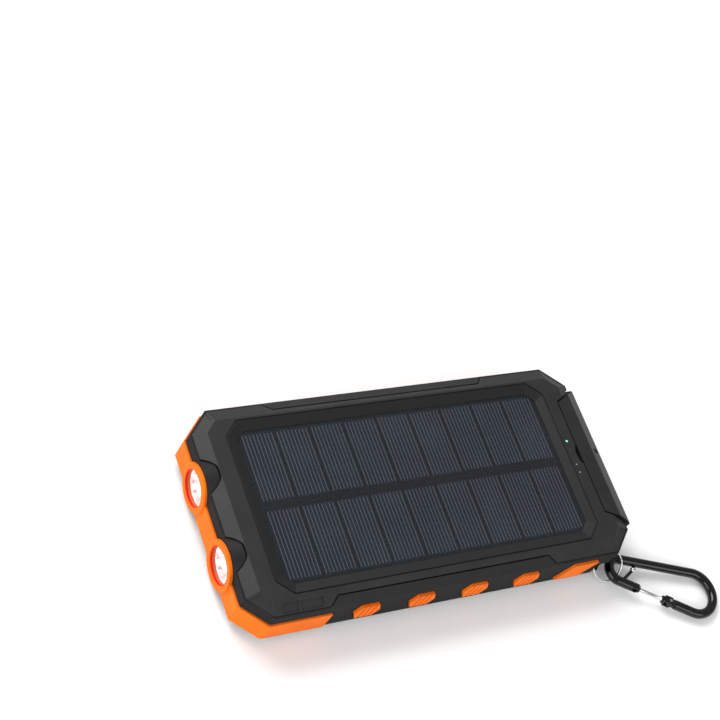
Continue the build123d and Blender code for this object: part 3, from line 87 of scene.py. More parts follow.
class Paint:
    """One procedural material: its node tree, its Principled shader and short names for its nodes."""

    def __init__(self, name, metal=0.0, specular=0.5):
        self.material = bpy.data.materials.new(name)
        self.material.use_nodes = True
        self.tree = self.material.node_tree
        self.shader = self.tree.nodes["Principled BSDF"]
        self.set("Metallic", metal)
        self.set("Specular IOR Level", specular)
        self.place = self.add("ShaderNodeTexCoord").outputs["Object"]
        self.edges = None

    def set(self, socket, value):
        self.shader.inputs[socket].default_value = value

    def add(self, kind, **values):
        node = self.tree.nodes.new(kind)
        for name, value in values.items():
            setattr(node, name, value)
        return node

    def link(self, source, target):
        self.tree.links.new(source, target)

    def stretched(self, scale):
        """Object coordinates with each axis scaled, for grain that runs one way."""
        mapping = self.add("ShaderNodeMapping")
        mapping.inputs["Scale"].default_value = scale
        self.link(self.place, mapping.inputs["Vector"])
        return mapping.outputs["Vector"]

    def noise(self, size, detail=2.0, place=None):
        """Noise whose blotches are about size millimetres across."""
        node = self.add("ShaderNodeTexNoise")
        node.inputs["Scale"].default_value = 1.0 / (size * MM)
        node.inputs["Detail"].default_value = detail
        self.link(place or self.place, node.inputs["Vector"])
        return node.outputs["Fac"]

    def cells(self, size):
        """Rounded cells about size millimetres across, as in a spark-eroded mould texture."""
        node = self.add("ShaderNodeTexVoronoi")
        node.inputs["Scale"].default_value = 1.0 / (size * MM)
        self.link(self.place, node.inputs["Vector"])
        return node.outputs["Distance"]

    def maths(self, operation, first, second):
        node = self.add("ShaderNodeMath", operation=operation)
        for index, value in enumerate((first, second)):
            if isinstance(value, (int, float)):
                node.inputs[index].default_value = value
            else:
                self.link(value, node.inputs[index])
        return node.outputs["Value"]

    def upward(self):
        """1 on the faces that look up or down, 0 on the walls."""
        split = self.add("ShaderNodeSeparateXYZ")
        self.link(self.add("ShaderNodeTexCoord").outputs["Normal"], split.inputs["Vector"])
        level = self.add("ShaderNodeMapRange")
        level.inputs["From Min"].default_value = WALL_SLOPE
        level.inputs["From Max"].default_value = FLAT_SLOPE
        self.link(self.maths("ABSOLUTE", split.outputs["Z"], 0.0), level.inputs["Value"])
        return level.outputs["Result"]

    def window_shade_mask(self):
        """1 inside the groove round the solar window, where the frame gets painted shade, 0 outside
        it.
        """
        low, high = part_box("panel_cover")
        centre = (low + high) / 2
        half = (high - low) / 2
        split = self.add("ShaderNodeSeparateXYZ")
        self.link(self.place, split.inputs["Vector"])
        away = self.maths("ABSOLUTE", self.maths("SUBTRACT", split.outputs["X"], centre.x), 0.0)
        aside = self.maths("ABSOLUTE", self.maths("SUBTRACT", split.outputs["Y"], centre.y), 0.0)
        room_x = self.maths("SUBTRACT", half.x + FRAME_WIDTH, away)
        room_y = self.maths("SUBTRACT", half.y + FRAME_WIDTH, aside)
        corner = self.maths("SUBTRACT", half.x + half.y + 2 * FRAME_WIDTH - FRAME_CORNER, away)
        room = self.maths("MINIMUM", room_x, room_y)
        room = self.maths("MINIMUM", room, self.maths("SUBTRACT", corner, aside))
        return self.maths("GREATER_THAN", room, 0.0)

    def ramp(self, value, stops):
        node = self.add("ShaderNodeValToRGB")
        elements = node.color_ramp.elements
        while len(elements) < len(stops):
            elements.new(0.5)
        for element, (position, colour) in zip(elements, stops):
            element.position = position
            element.color = (*colour, 1.0)
        self.link(value, node.inputs["Fac"])
        return node.outputs["Color"]

    def colour(self, value, stops):
        self.link(self.ramp(value, stops), self.shader.inputs["Base Color"])

    def rough(self, value, low, high):
        node = self.add("ShaderNodeMapRange")
        node.inputs["To Min"].default_value = low
        node.inputs["To Max"].default_value = high
        self.link(value, node.inputs["Value"])
        self.link(node.outputs["Result"], self.shader.inputs["Roughness"])

    def bump(self, height, depth, strength=1.0):
        """Bump from a 0..1 height that stands depth millimetres high."""
        node = self.add("ShaderNodeBump")
        node.inputs["Strength"].default_value = strength
        node.inputs["Distance"].default_value = depth * MM
        self.link(height, node.inputs["Height"])
        if self.edges:
            self.link(self.edges, node.inputs["Normal"])
        self.link(node.outputs["Normal"], self.shader.inputs["Normal"])

    def worn_edges(self, radius):
        """Lets the shading run round the edges as if they had this radius in millimetres."""
        node = self.add("ShaderNodeBevel", samples=6)
        node.inputs["Radius"].default_value = radius * MM
        self.edges = node.outputs["Normal"]


def grey(value, tint=(1.0, 1.0, 1.0)):
    """A grey of one value, or that grey tinted channel by channel."""
    return tuple(value * channel for channel in tint)


def moulded_black(name, dark, light, rough, specular, painted_frame_shade=False):
    """Charcoal plastic with a spark-eroded grain, rougher on its walls and darkened there with
    painted shade; on the front shell a painted shade strip darkens the frame round the solar window.
    """
    paint = Paint(name, specular=specular)
    paint.worn_edges(0.22)
    flow = paint.noise(9.0, 3.0)
    wall = paint.maths("SUBTRACT", 1.0, paint.upward())
    # painted shade: the walls are darkened by lowering the tone by half
    tone = paint.maths("SUBTRACT", flow, paint.maths("MULTIPLY", wall, 0.5))
    # painted shade: the strip round the solar window is darkened, as the recess there lies in shadow
    if painted_frame_shade:
        tone = paint.maths("SUBTRACT", tone, paint.window_shade_mask())
    paint.colour(tone, ((0.0, grey(0.55 * dark)), (0.3, grey(dark)), (0.7, grey(light))))
    grain = paint.maths("ADD", paint.noise(0.16, 3.0), paint.cells(0.3))
    speckle = paint.maths("MULTIPLY", paint.noise(1.6, 2.0), 0.3)
    paint.rough(paint.maths("ADD", speckle, wall), rough - 0.05, rough + 0.3)
    paint.bump(grain, 0.012, 0.5)
    return paint.material


def orange_rubber():
    """Satin bumper rubber, a little deeper where the moulding is thick."""
    paint = Paint("orange_rubber", specular=0.12)
    paint.worn_edges(0.25)
    tone = paint.noise(7.0, 3.0)
    paint.colour(tone, ((0.3, (0.82, 0.140, 0.002)), (0.7, (0.89, 0.172, 0.004))))
    paint.rough(paint.noise(1.0, 2.0), 0.50, 0.62)
    paint.bump(paint.noise(0.22, 3.0), 0.012, 0.4)
    return paint.material


def closed_foam():
    """Dark grey foam with closed pores."""
    paint = Paint("foam_grey", specular=0.2)
    pores = paint.cells(0.5)
    paint.colour(pores, ((0.1, grey(0.05)), (0.6, grey(0.16))))
    paint.rough(pores, 0.8, 0.95)
    paint.bump(pores, 0.08, 0.8)
    return paint.material


def dark_laminate():
    """Black glass-fibre board with the faint cross weave of the cloth in it."""
    paint = Paint("board_dark", specular=0.06)
    warp = paint.noise(0.5, 2.0, paint.stretched((1.0, 0.08, 1.0)))
    weft = paint.noise(0.5, 2.0, paint.stretched((0.08, 1.0, 1.0)))
    weave = paint.maths("ADD", warp, weft)
    paint.colour(weave, ((0.3, (0.009, 0.011, 0.012)), (1.0, (0.011, 0.014, 0.015))))
    paint.rough(weave, 0.55, 0.62)
    paint.bump(weave, 0.001, 0.1)
    return paint.material


def silicon():
    """Dark blue coated silicon, its tone drifting from wafer to wafer."""
    paint = Paint("silicon", specular=0.22)
    drift = paint.noise(14.0, 2.0)
    grain = paint.noise(0.7, 3.0, paint.stretched((1.0, 0.3, 1.0)))
    tone = paint.maths("ADD", drift, paint.maths("MULTIPLY", grain, 0.35))
    paint.colour(tone, ((0.45, (0.006, 0.009, 0.017)), (0.85, (0.012, 0.016, 0.026))))
    paint.rough(grain, 0.3, 0.42)
    paint.bump(grain, 0.006, 0.5)
    return paint.material


def printed_silver():
    """The fired silver paste of the collector lines."""
    paint = Paint("printed_silver", metal=0.2, specular=0.3)
    paste = paint.noise(0.3, 3.0)
    paint.colour(paste, ((0.3, (0.085, 0.095, 0.112)), (0.7, (0.120, 0.132, 0.150))))
    paint.rough(paste, 0.5, 0.7)
    paint.bump(paste, 0.01, 0.6)
    return paint.material


def satin_sheet():
    """The clear cover sheet, with a faint satin bloom."""
    paint = Paint("clear_panel", specular=0.4)
    bloom = paint.noise(30.0, 2.0)
    paint.colour(bloom, ((0.3, (0.030, 0.035, 0.042)), (0.7, (0.042, 0.047, 0.055))))
    paint.set("Alpha", 0.12)
    paint.rough(bloom, 0.24, 0.32)
    return paint.material


def clear_plastic():
    """Clear moulded plastic with a trace of haze."""
    paint = Paint("clear_plastic", specular=0.5)
    haze = paint.noise(6.0, 2.0)
    paint.colour(haze, ((0.3, (0.70, 0.72, 0.74)), (0.7, (0.80, 0.82, 0.83))))
    paint.set("Alpha", 0.05)
    paint.rough(haze, 0.03, 0.09)
    paint.bump(haze, 0.004, 0.3)
    return paint.material


def led_package():
    """The cream ceramic of a diode package."""
    paint = Paint("led_white", specular=0.5)
    ceramic = paint.noise(0.9, 3.0)
    paint.colour(ceramic, ((0.3, (0.72, 0.70, 0.62)), (0.7, (0.88, 0.86, 0.78))))
    paint.rough(ceramic, 0.3, 0.45)
    paint.bump(ceramic, 0.01, 0.3)
    return paint.material


def mouth_shade_red():
    """Glossy deep red for the lining inside the torch mouths: painted shade standing in for the
    orange bore wall in shadow.
    """
    paint = Paint("mouth_shade_red", specular=0.12)
    coat = paint.noise(0.8, 3.0)
    # painted shade: deep red where the orange bore wall lies in shadow
    paint.colour(coat, ((0.3, (0.72, 0.008, 0.001)), (0.7, (0.80, 0.014, 0.002))))
    paint.rough(coat, 0.4, 0.55)
    paint.bump(coat, 0.006, 0.3)
    return paint.material


def phosphor():
    """The yellow die of a white light-emitting diode, with a faint painted glow that brightens it."""
    paint = Paint("phosphor", specular=0.5)
    grains = paint.cells(0.12)
    paint.colour(grains, ((0.2, (0.95, 0.80, 0.25)), (0.8, (0.98, 0.90, 0.45))))
    # painted glow that brightens the die
    paint.set("Emission Color", (1.0, 0.93, 0.7, 1.0))
    paint.set("Emission Strength", 0.5)
    paint.rough(grains, 0.35, 0.5)
    paint.bump(grains, 0.02, 0.5)
    return paint.material


def chrome_with_painted_glow():
    """Vacuum-metallised plastic, very slightly orange-peeled, with a painted glow that brightens it
    though it is no lamp.
    """
    paint = Paint("bright_reflector", metal=1.0)
    peel = paint.noise(1.2, 2.0)
    paint.colour(peel, ((0.3, (0.93, 0.90, 0.91)), (0.7, (0.99, 0.97, 0.98))))
    # painted glow: the reflector gives off light of its own
    paint.set("Emission Color", (1.0, 0.95, 0.95, 1.0))
    paint.set("Emission Strength", 0.22)
    paint.rough(peel, 0.10, 0.18)
    paint.bump(peel, 0.01, 0.4)
    return paint.material


def cell_foil():
    """Silver laminate of a battery pouch, softly crinkled."""
    paint = Paint("cell_foil", metal=0.85)
    crinkle = paint.noise(3.5, 4.0)
    paint.colour(crinkle, ((0.3, (0.60, 0.61, 0.63)), (0.7, (0.74, 0.75, 0.77))))
    paint.rough(crinkle, 0.25, 0.42)
    paint.bump(crinkle, 0.12, 0.5)
    return paint.material


def board_green():
    """Green solder mask over copper tracks that show as paler lines."""
    paint = Paint("board_green", specular=0.5)
    brick = paint.add("ShaderNodeTexBrick", offset=0.5)
    brick.inputs["Scale"].default_value = 1.0 / (9.0 * MM)
    brick.inputs["Mortar Size"].default_value = 0.018
    brick.inputs["Color1"].default_value = (0.0, 0.0, 0.0, 1.0)
    brick.inputs["Color2"].default_value = (0.15, 0.15, 0.15, 1.0)
    brick.inputs["Mortar"].default_value = (1.0, 1.0, 1.0, 1.0)
    paint.link(paint.place, brick.inputs["Vector"])
    tracks = paint.add("ShaderNodeRGBToBW")
    paint.link(brick.outputs["Color"], tracks.inputs["Color"])
    line = tracks.outputs["Val"]
    mixed = paint.maths("ADD", line, paint.maths("MULTIPLY", paint.noise(3.0), 0.2))
    paint.colour(mixed, ((0.0, (0.004, 0.070, 0.028)), (1.0, (0.02, 0.20, 0.08))))
    paint.rough(mixed, 0.3, 0.4)
    paint.bump(line, 0.02, 0.5)
    return paint.material


def plated_steel(name, dark, light, rough, brush):
    """Plated steel with fine drawing marks along one axis."""
    paint = Paint(name, metal=1.0)
    marks = paint.noise(0.5, 4.0, paint.stretched(brush))
    paint.colour(marks, ((0.3, grey(dark)), (0.7, grey(light, (1.0, 1.0, 1.01)))))
    paint.rough(marks, rough - 0.05, rough + 0.1)
    paint.bump(marks, 0.008, 0.4)
    return paint.material


def gold_plate():
    """Thin gold plating, a little worn."""
    paint = Paint("gold_plate", metal=1.0)
    wear = paint.noise(0.6, 3.0)
    paint.colour(wear, ((0.3, (0.75, 0.50, 0.16)), (0.7, (0.90, 0.65, 0.26))))
    paint.rough(wear, 0.2, 0.35)
    paint.bump(wear, 0.004, 0.4)
    return paint.material


def polished_black(name, rough):
    """Glossy black with the ghost of handling marks."""
    paint = Paint(name, specular=0.4)
    smear = paint.noise(2.5, 4.0)
    paint.colour(smear, ((0.3, grey(0.001)), (0.7, grey(0.003))))
    paint.rough(smear, rough - 0.05, rough + 0.08)
    paint.bump(smear, 0.006, 0.25)
    return paint.material


def dial_black():
    """Matt black printing ground of the compass dial."""
    paint = Paint("dial_black", specular=0.3)
    ink = paint.noise(0.4, 3.0)
    paint.colour(ink, ((0.3, grey(0.008)), (0.7, grey(0.016))))
    paint.rough(ink, 0.55, 0.7)
    paint.bump(ink, 0.006, 0.4)
    return paint.material


def dial_ink(name, colour):
    """Opaque screen-printing ink."""
    paint = Paint(name, specular=0.4)
    coat = paint.noise(0.25, 3.0)
    thin = tuple(0.85 * channel for channel in colour)
    paint.colour(coat, ((0.3, thin), (0.7, colour)))
    paint.rough(coat, 0.4, 0.55)
    paint.bump(coat, 0.008, 0.5)
    return paint.material


def grip_rubber():
    """Matt rubber of the grips, with some dust in its grain."""
    paint = Paint("grip_rubber", specular=0.4)
    dust = paint.noise(1.2, 4.0)
    paint.colour(dust, ((0.3, grey(0.016)), (0.75, grey(0.030))))
    paint.rough(dust, 0.6, 0.75)
    paint.bump(paint.noise(0.18, 3.0), 0.015, 0.5)
    return paint.material


def wire_skin(name, colour):
    """Soft glossy lead insulation with faint extrusion lines."""
    paint = Paint(name, specular=0.5)
    lines = paint.noise(0.4, 2.0, paint.stretched((0.1, 1.0, 1.0)))
    thin = tuple(0.7 * channel for channel in colour)
    paint.colour(lines, ((0.3, thin), (0.7, colour)))
    paint.rough(lines, 0.25, 0.4)
    paint.bump(lines, 0.01, 0.3)
    return paint.material


def lit_lens(name, colour, strength):
    """An indicator lens: milky plastic, with the light behind it brightest in the middle."""
    paint = Paint(name, specular=0.5)
    milk = paint.noise(0.3, 2.0)
    dim = tuple(0.75 * channel for channel in colour)
    paint.colour(milk, ((0.3, dim), (0.7, colour)))
    glow = paint.ramp(milk, ((0.2, dim), (0.8, colour)))
    paint.link(glow, paint.shader.inputs["Emission Color"])
    paint.set("Emission Strength", strength)
    paint.rough(milk, 0.2, 0.35)
    paint.bump(milk, 0.006, 0.3)
    return paint.material


def stage_surface():
    """The plain pale floor and backdrop."""
    paint = Paint("stage", specular=0.1)
    tone = paint.noise(180.0, 2.0)
    paint.colour(tone, ((0.3, grey(0.93)), (0.7, grey(0.95))))
    paint.rough(tone, 0.85, 0.95)
    return paint.material


PAINTS = {
    "black_shell": moulded_black("black_shell", 0.012, 0.017, 0.50, 0.34),
    "orange_rubber": orange_rubber(),
    "foam_grey": closed_foam(),
    "board_dark": dark_laminate(),
    "silicon": silicon(),
    "clear_panel": satin_sheet(),
    "clear_plastic": clear_plastic(),
    "led_white": led_package(),
    "black_plastic": moulded_black("black_plastic", 0.010, 0.014, 0.46, 0.34),
    "bright_reflector": chrome_with_painted_glow(),
    "cell_foil": cell_foil(),
    "board_green": board_green(),
    "steel_plate": plated_steel("steel_plate", 0.55, 0.72, 0.22, (1.0, 0.06, 1.0)),
    "black_gloss": polished_black("black_gloss", 0.22),
    "dial_black": dial_black(),
    "grip_rubber": grip_rubber(),
    "screw_steel": plated_steel("screw_steel", 0.40, 0.55, 0.3, (1.0, 1.0, 0.1)),
    "black_anodised": polished_black("black_anodised", 0.10),
    "lead_red": wire_skin("lead_red", (0.55, 0.02, 0.015)),
    "lead_black": wire_skin("lead_black", (0.02, 0.02, 0.02)),
}
EXTRA = {
    # a slightly darker, less glossy copy of the shell plastic for the side frame, as painted shade on
    # the near side
    "side_black_shaded": moulded_black("side_black_shaded", 0.011, 0.016, 0.50, 0.26),
    # the front shell's copy of the plastic, with the painted shade strip round the solar window
    "front_black": moulded_black("front_black", 0.012, 0.017, 0.50, 0.34, painted_frame_shade=True),
    "mouth_shade_red": mouth_shade_red(),
    "printed_silver": printed_silver(),
    "phosphor": phosphor(),
    "gold_plate": gold_plate(),
    "ink_white": dial_ink("ink_white", (0.85, 0.87, 0.88)),
    "ink_green": dial_ink("ink_green", (0.10, 0.62, 0.22)),
    "light_green": lit_lens("light_green", (0.16, 0.85, 0.50), 0.75),
    "light_white": lit_lens("light_white", (0.42, 0.46, 0.45), 0.0),
    "light_off": lit_lens("light_off", (0.02, 0.022, 0.022), 0.0),
}
OWN_PAINT = {"side_frame": "side_black_shaded", "front_shell": "front_black", "light_pipe": "light_off"}


def paint_cad_nodes():
    """Gives every CAD node the procedural material of its slot."""
    for name, node in NODES.items():
        for place in node.material_slots:
            if name in OWN_PAINT:
                place.material = EXTRA[OWN_PAINT[name]]
            else:
                place.material = PAINTS[place.material.name.split(".")[0]]


# ---------------------------------------------------------------- mesh tools

def add_piece(name, bm, material, body, smooth=False):
    """A finished piece from a bmesh: its normals are made even, and it rides on its CAD body."""
    mesh = bpy.data.meshes.new(name)
    bmesh.ops.recalc_face_normals(bm, faces=bm.faces)
    bm.to_mesh(mesh)
    bm.free()
    for polygon in mesh.polygons:
        polygon.use_smooth = smooth
    mesh.materials.append(material)
    piece = bpy.data.objects.new(name, mesh)
    bpy.context.scene.collection.objects.link(piece)
    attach(piece, body)
    return piece


def add_loops(bm, loops, cap=True):
    """Joins rings of points into a skin, one quad strip between each pair of rings."""
    rings = [[bm.verts.new(point) for point in loop] for loop in loops]
    count = len(rings[0])
    for near, far in zip(rings, rings[1:]):
        for index in range(count):
            after = (index + 1) % count
            bm.faces.new((near[index], near[after], far[after], far[index]))
    if cap:
        bm.faces.new(list(reversed(rings[0])))
        bm.faces.new(rings[-1])
    return rings


def add_pillow(bm, low, high, edge):
    """A block from low to high whose top edges have a chamfer of that width."""
    def ring(shrink, level):
        return [
            (low[0] + shrink, low[1] + shrink, level),
            (high[0] - shrink, low[1] + shrink, level),
            (high[0] - shrink, high[1] - shrink, level),
            (low[0] + shrink, high[1] - shrink, level),
        ]
    add_loops(bm, [ring(0.0, low[2]), ring(0.0, high[2] - edge), ring(edge, high[2])])


def level_circle(centre, radius, level, count):
    """Points round a circle in a level plane."""
    return [
        Vector((
            centre[0] + radius * math.cos(math.tau * step / count),
            centre[1] + radius * math.sin(math.tau * step / count),
            level,
        ))
        for step in range(count)
    ]


def circle_across_x(x, middle, radius, count, turn=0.0):
    """Points round a circle that faces along x, its middle given as y and z."""
    angles = (turn + math.tau * step / count for step in range(count))
    return [
        (x, middle[0] + radius * math.cos(angle), middle[1] + radius * math.sin(angle))
        for angle in angles
    ]


def middle_across_x(node):
    """The y and z of the middle of a CAD node."""
    low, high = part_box(node)
    return (low.y + high.y) / 2, (low.z + high.z) / 2


def axes_matrix(axes, origin):
    """The matrix whose columns are three axes, placed at an origin."""
    place = Matrix.Identity(4)
    for column, direction in enumerate(axes):
        for row in range(3):
            place[row][column] = direction[row]
    place.translation = origin
    return place


def add_tube(bm, path, radius, sides=8, closed=False):
    """A round tube along a path of points, its section carried along without twisting."""
    points = [Vector(point) for point in path]
    count = len(points)
    normal = None
    loops = []
    for index, point in enumerate(points):
        before = points[index - 1] if (closed or index) else point
        after = points[(index + 1) % count] if (closed or index < count - 1) else point
        along = (after - before).normalized()
        if normal is None:
            normal = along.orthogonal().normalized()
        normal = (normal - along * normal.dot(along)).normalized()
        side = along.cross(normal)
        loops.append([
            point + radius * (normal * math.cos(turn) + side * math.sin(turn))
            for turn in (math.tau * step / sides for step in range(sides))
        ])
    if closed:
        loops.append(loops[0])
    rings = add_loops(bm, loops, cap=not closed)
    if closed:
        bmesh.ops.remove_doubles(bm, verts=rings[0] + rings[-1], dist=WELD)


def outline_of(node):
    """The convex outline of a flat CAD node seen from above, going round once."""
    points = sorted({(round(v.co.x, 6), round(v.co.y, 6)) for v in NODES[node].data.vertices})

    def half(ordered):
        chain = []
        for point in ordered:
            while len(chain) > 1:
                (ax, ay), (bx, by) = chain[-2], chain[-1]
                if (bx - ax) * (point[1] - ay) - (by - ay) * (point[0] - ax) > 0:
                    break
                chain.pop()
            chain.append(point)
        return chain[:-1]

    return half(points) + half(list(reversed(points)))


def inset(outline, distance):
    """A convex outline moved inwards by a distance."""
    count = len(outline)
    lines = []
    for index in range(count):
        start, end = Vector(outline[index]), Vector(outline[(index + 1) % count])
        along = (end - start).normalized()
        inward = Vector((-along.y, along.x))
        lines.append((start + inward * distance, along))
    moved = []
    for index in range(count):
        (p, d), (q, e) = lines[index - 1], lines[index]
        share = ((q - p).x * e.y - (q - p).y * e.x) / (d.x * e.y - d.y * e.x)
        moved.append(p + d * share)
    return moved


def span_at(outline, x):
    """The lowest and highest y of a convex outline at one x, or None outside it."""
    hits = []
    for index, start in enumerate(outline):
        end = outline[(index + 1) % len(outline)]
        if (start[0] - x) * (end[0] - x) < 0:
            share = (x - start[0]) / (end[0] - start[0])
            hits.append(start[1] + share * (end[1] - start[1]))
    return (min(hits), max(hits)) if len(hits) == 2 else None


# ---------------------------------------------------------------- solar panel

CELL_COLUMNS = 9
CELL_ROWS = 2
CELL_GAP = 0.8 * MM
CENTRE_BAR = 3.0 * MM
FINGERS = 9
FINGER_WIDTH = 0.30 * MM
FINGER_END = 0.5 * MM
WAFER_THICKNESS = 0.16 * MM
WAFER_CHAMFER = 0.05 * MM
FINGER_RISE = 0.02 * MM


def wafer_places():
    """The corner pairs of the wafers: nine columns in two rows, with the centre bar between."""
    low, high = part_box("solar_cells")
    pitch = (high.x - low.x + CELL_GAP) / CELL_COLUMNS
    depth = (high.y - low.y - CENTRE_BAR) / CELL_ROWS
    for row in range(CELL_ROWS):
        for column in range(CELL_COLUMNS):
            x = low.x + column * pitch
            y = low.y + row * (depth + CENTRE_BAR)
            yield x, y, x + pitch - CELL_GAP, y + depth


def solar_wafers():
    """Thin wafers with chamfered rims, in place of the plain cell plates."""
    bm = bmesh.new()
    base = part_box("solar_cells")[0].z
    top = base + WAFER_THICKNESS
    for x0, y0, x1, y1 in wafer_places():
        add_pillow(bm, (x0, y0, base), (x1, y1, top), WAFER_CHAMFER)
    piece = add_piece("solar_wafers", bm, PAINTS["silicon"], "case")
    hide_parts("solar_cells")


def collector_lines():
    """Fine silver lines printed across each wafer."""
    bm = bmesh.new()
    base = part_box("solar_cells")[0].z + WAFER_THICKNESS
    for x0, y0, x1, y1 in wafer_places():
        step = (x1 - x0) / FINGERS
        for finger in range(FINGERS):
            x = x0 + (finger + 0.5) * step
            low = (x - FINGER_WIDTH / 2, y0 + FINGER_END, base - FINGER_RISE)
            high = (x + FINGER_WIDTH / 2, y1 - FINGER_END, base + FINGER_RISE)
            add_pillow(bm, low, high, FINGER_RISE / 2)
    add_piece("collector_lines", bm, EXTRA["printed_silver"], "case")


# ---------------------------------------------------------------- torches

FACET_ROWS = 3
FACET_COLUMNS = 12
REFLECTOR_WALL = 0.12 * MM
REFLECTOR_THROAT = 2.6 * MM
REFLECTOR_FIT = 0.1 * MM


def add_facets(bm, near, far, leaning):
    """One band of triangles between two rings of the cup, leaning to one side or the other."""
    for index in range(FACET_COLUMNS):
        after = (index + 1) % FACET_COLUMNS
        if leaning:
            bm.faces.new((near[index], far[index], near[after]))
            bm.faces.new((far[index], far[after], near[after]))
        else:
            bm.faces.new((near[index], far[index], far[index - 1]))
            bm.faces.new((near[index], near[after], far[index]))


def reflector(side):
    """A pressed cup of flat facets round the diode, in place of the smooth one."""
    node = f"torch_reflector_{side}"
    low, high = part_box(node)
    middle = middle_across_x(node)
    rim = (high.y - low.y) / 2 - REFLECTOR_FIT
    bm = bmesh.new()
    loops = []
    for row in range(FACET_ROWS + 1):
        share = row / FACET_ROWS
        radius = REFLECTOR_THROAT + (rim - REFLECTOR_WALL - REFLECTOR_THROAT) * math.sqrt(share)
        x = high.x - (high.x - low.x - 2 * REFLECTOR_FIT) * share - REFLECTOR_FIT
        turn = math.pi / FACET_COLUMNS * (row % 2)
        loops.append(circle_across_x(x, middle, radius, FACET_COLUMNS, turn))
    rings = [[bm.verts.new(point) for point in loop] for loop in loops]
    for row, (near, far) in enumerate(zip(rings, rings[1:])):
        add_facets(bm, near, far, row % 2)
    outer, back = (
        [bm.verts.new(point) for point in circle_across_x(loop[0][0], middle, rim, FACET_COLUMNS)]
        for loop in (loops[-1], loops[0])
    )
    for near, far in ((rings[-1], outer), (outer, back), (back, rings[0])):
        for index in range(FACET_COLUMNS):
            after = (index + 1) % FACET_COLUMNS
            bm.faces.new((near[index], near[after], far[after], far[index]))
    name = f"faceted_reflector_{side}"
    piece = add_piece(name, bm, PAINTS["bright_reflector"], "case")
    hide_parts(node)


MOUTH_BORE = 6.4 * MM
MOUTH_LINING = 0.15 * MM
MOUTH_SETBACK = 0.25 * MM
MOUTH_SIDES = 64


def mouth_shade_lining(side):
    """A thin red sheet inside one torch mouth, from just behind the rim to the lens: painted shade on
    the orange bore wall.
    """
    lens = f"torch_lens_{side}"
    lens_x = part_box(lens)[0].x
    middle = middle_across_x(lens)
    rim_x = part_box("bumper_frame")[0].x + MOUTH_SETBACK
    sections = (
        (rim_x, MOUTH_BORE),
        (rim_x, MOUTH_BORE - MOUTH_LINING),
        (lens_x, MOUTH_BORE - MOUTH_LINING),
        (lens_x, MOUTH_BORE),
    )
    bm = bmesh.new()
    rings = [
        circle_across_x(x, middle, radius, MOUTH_SIDES) for x, radius in sections + sections[:1]
    ]
    add_loops(bm, rings, cap=False)
    bmesh.ops.remove_doubles(bm, verts=bm.verts, dist=WELD)
    add_piece(f"mouth_shade_lining_{side}", bm, EXTRA["mouth_shade_red"], "case")


DIE_RADIUS = 1.3 * MM
DIE_HEIGHT = 0.9 * MM
DIE_RINGS = 6
DIE_SIDES = 24


def torch_die(side):
    """The domed yellow die of one torch, at the tip of the diode."""
    led = f"torch_led_{side}"
    face_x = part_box(led)[0].x
    middle = middle_across_x(led)
    bm = bmesh.new()
    rings = []
    for ring in range(DIE_RINGS):
        lean = math.pi / 2 * ring / DIE_RINGS
        x = face_x - DIE_HEIGHT * math.sin(lean)
        rings.append(circle_across_x(x, middle, DIE_RADIUS * math.cos(lean), DIE_SIDES))
    add_loops(bm, rings)
    add_piece(f"torch_die_{side}", bm, EXTRA["phosphor"], "case", smooth=True)


# ---------------------------------------------------------------- indicators

INDICATOR_SIZES = (0.26, 0.26, 0.3, 0.3, 0.46)  # lens radii in millimetres
INDICATOR_END = 0.5 * MM  # from each end of the row of diodes to its outermost lens
LENS_SINK = 0.05 * MM
LENS_HEIGHT = 0.14 * MM
LENS_RINGS = 5
LENS_SIDES = 20
INDICATOR_LIGHTS = ("light_white", "light_white", "light_off", "light_off", "light_green")


def indicator_domes():
    """A small lens on each indicator pin, lit where the charger shows its state."""
    low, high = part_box("light_pipe")
    centre_x = (low.x + high.x) / 2
    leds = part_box("indicator_leds")
    first = leds[0].y + INDICATOR_END
    last = leds[1].y - INDICATOR_END
    for index, light in enumerate(INDICATOR_LIGHTS):
        y = first + (last - first) * index / (len(INDICATOR_LIGHTS) - 1)
        bm = bmesh.new()
        loops = []
        for ring in range(LENS_RINGS):
            lean = math.pi / 2 * ring / LENS_RINGS
            radius = INDICATOR_SIZES[index] * MM * math.cos(lean)
            level = high.z - LENS_SINK + LENS_HEIGHT * math.sin(lean)
            loops.append(level_circle((centre_x, y), radius, level, LENS_SIDES))
        add_loops(bm, loops)
        add_piece(f"indicator_lens_{index + 1}", bm, EXTRA[light], "case", True)


# ---------------------------------------------------------------- sockets and board

# Contacts of each socket: how many, and the width of one in millimetres
CONTACTS = {"usb_a_right": (4, 1.1), "usb_a_left": (4, 1.1), "micro_usb": (5, 0.4)}
CONTACT_THICKNESS = 0.06 * MM
CONTACT_TIP = 0.4 * MM  # bare tongue in front of the contacts
CONTACT_REACH = 0.6  # how far back along the tongue they run, as a share of it
BLADE_LIFT = 0.1  # the tongue's underside above the socket's middle, as a share of its height
BLADE_HALF = 0.38  # half the row of contacts, as a share of the socket's width
PART_CHAMFER = 0.15 * MM
# Chips on the board: x, y, length, width and height in millimetres
BOARD_PARTS = (
    (54.6, 0.0, 4.0, 4.0, 0.9),
    (54.6, 13.5, 4.2, 5.0, 1.3),
    (54.6, -13.5, 4.2, 5.0, 1.3),
    (55.0, 6.6, 2.0, 1.2, 0.8),
    (55.0, -6.6, 2.0, 1.2, 0.8),
    (53.4, 19.6, 1.6, 0.8, 0.7),
    (53.4, -19.6, 1.6, 0.8, 0.7),
    (55.8, 19.6, 1.6, 0.8, 0.7),
    (55.8, -19.6, 1.6, 0.8, 0.7),
)


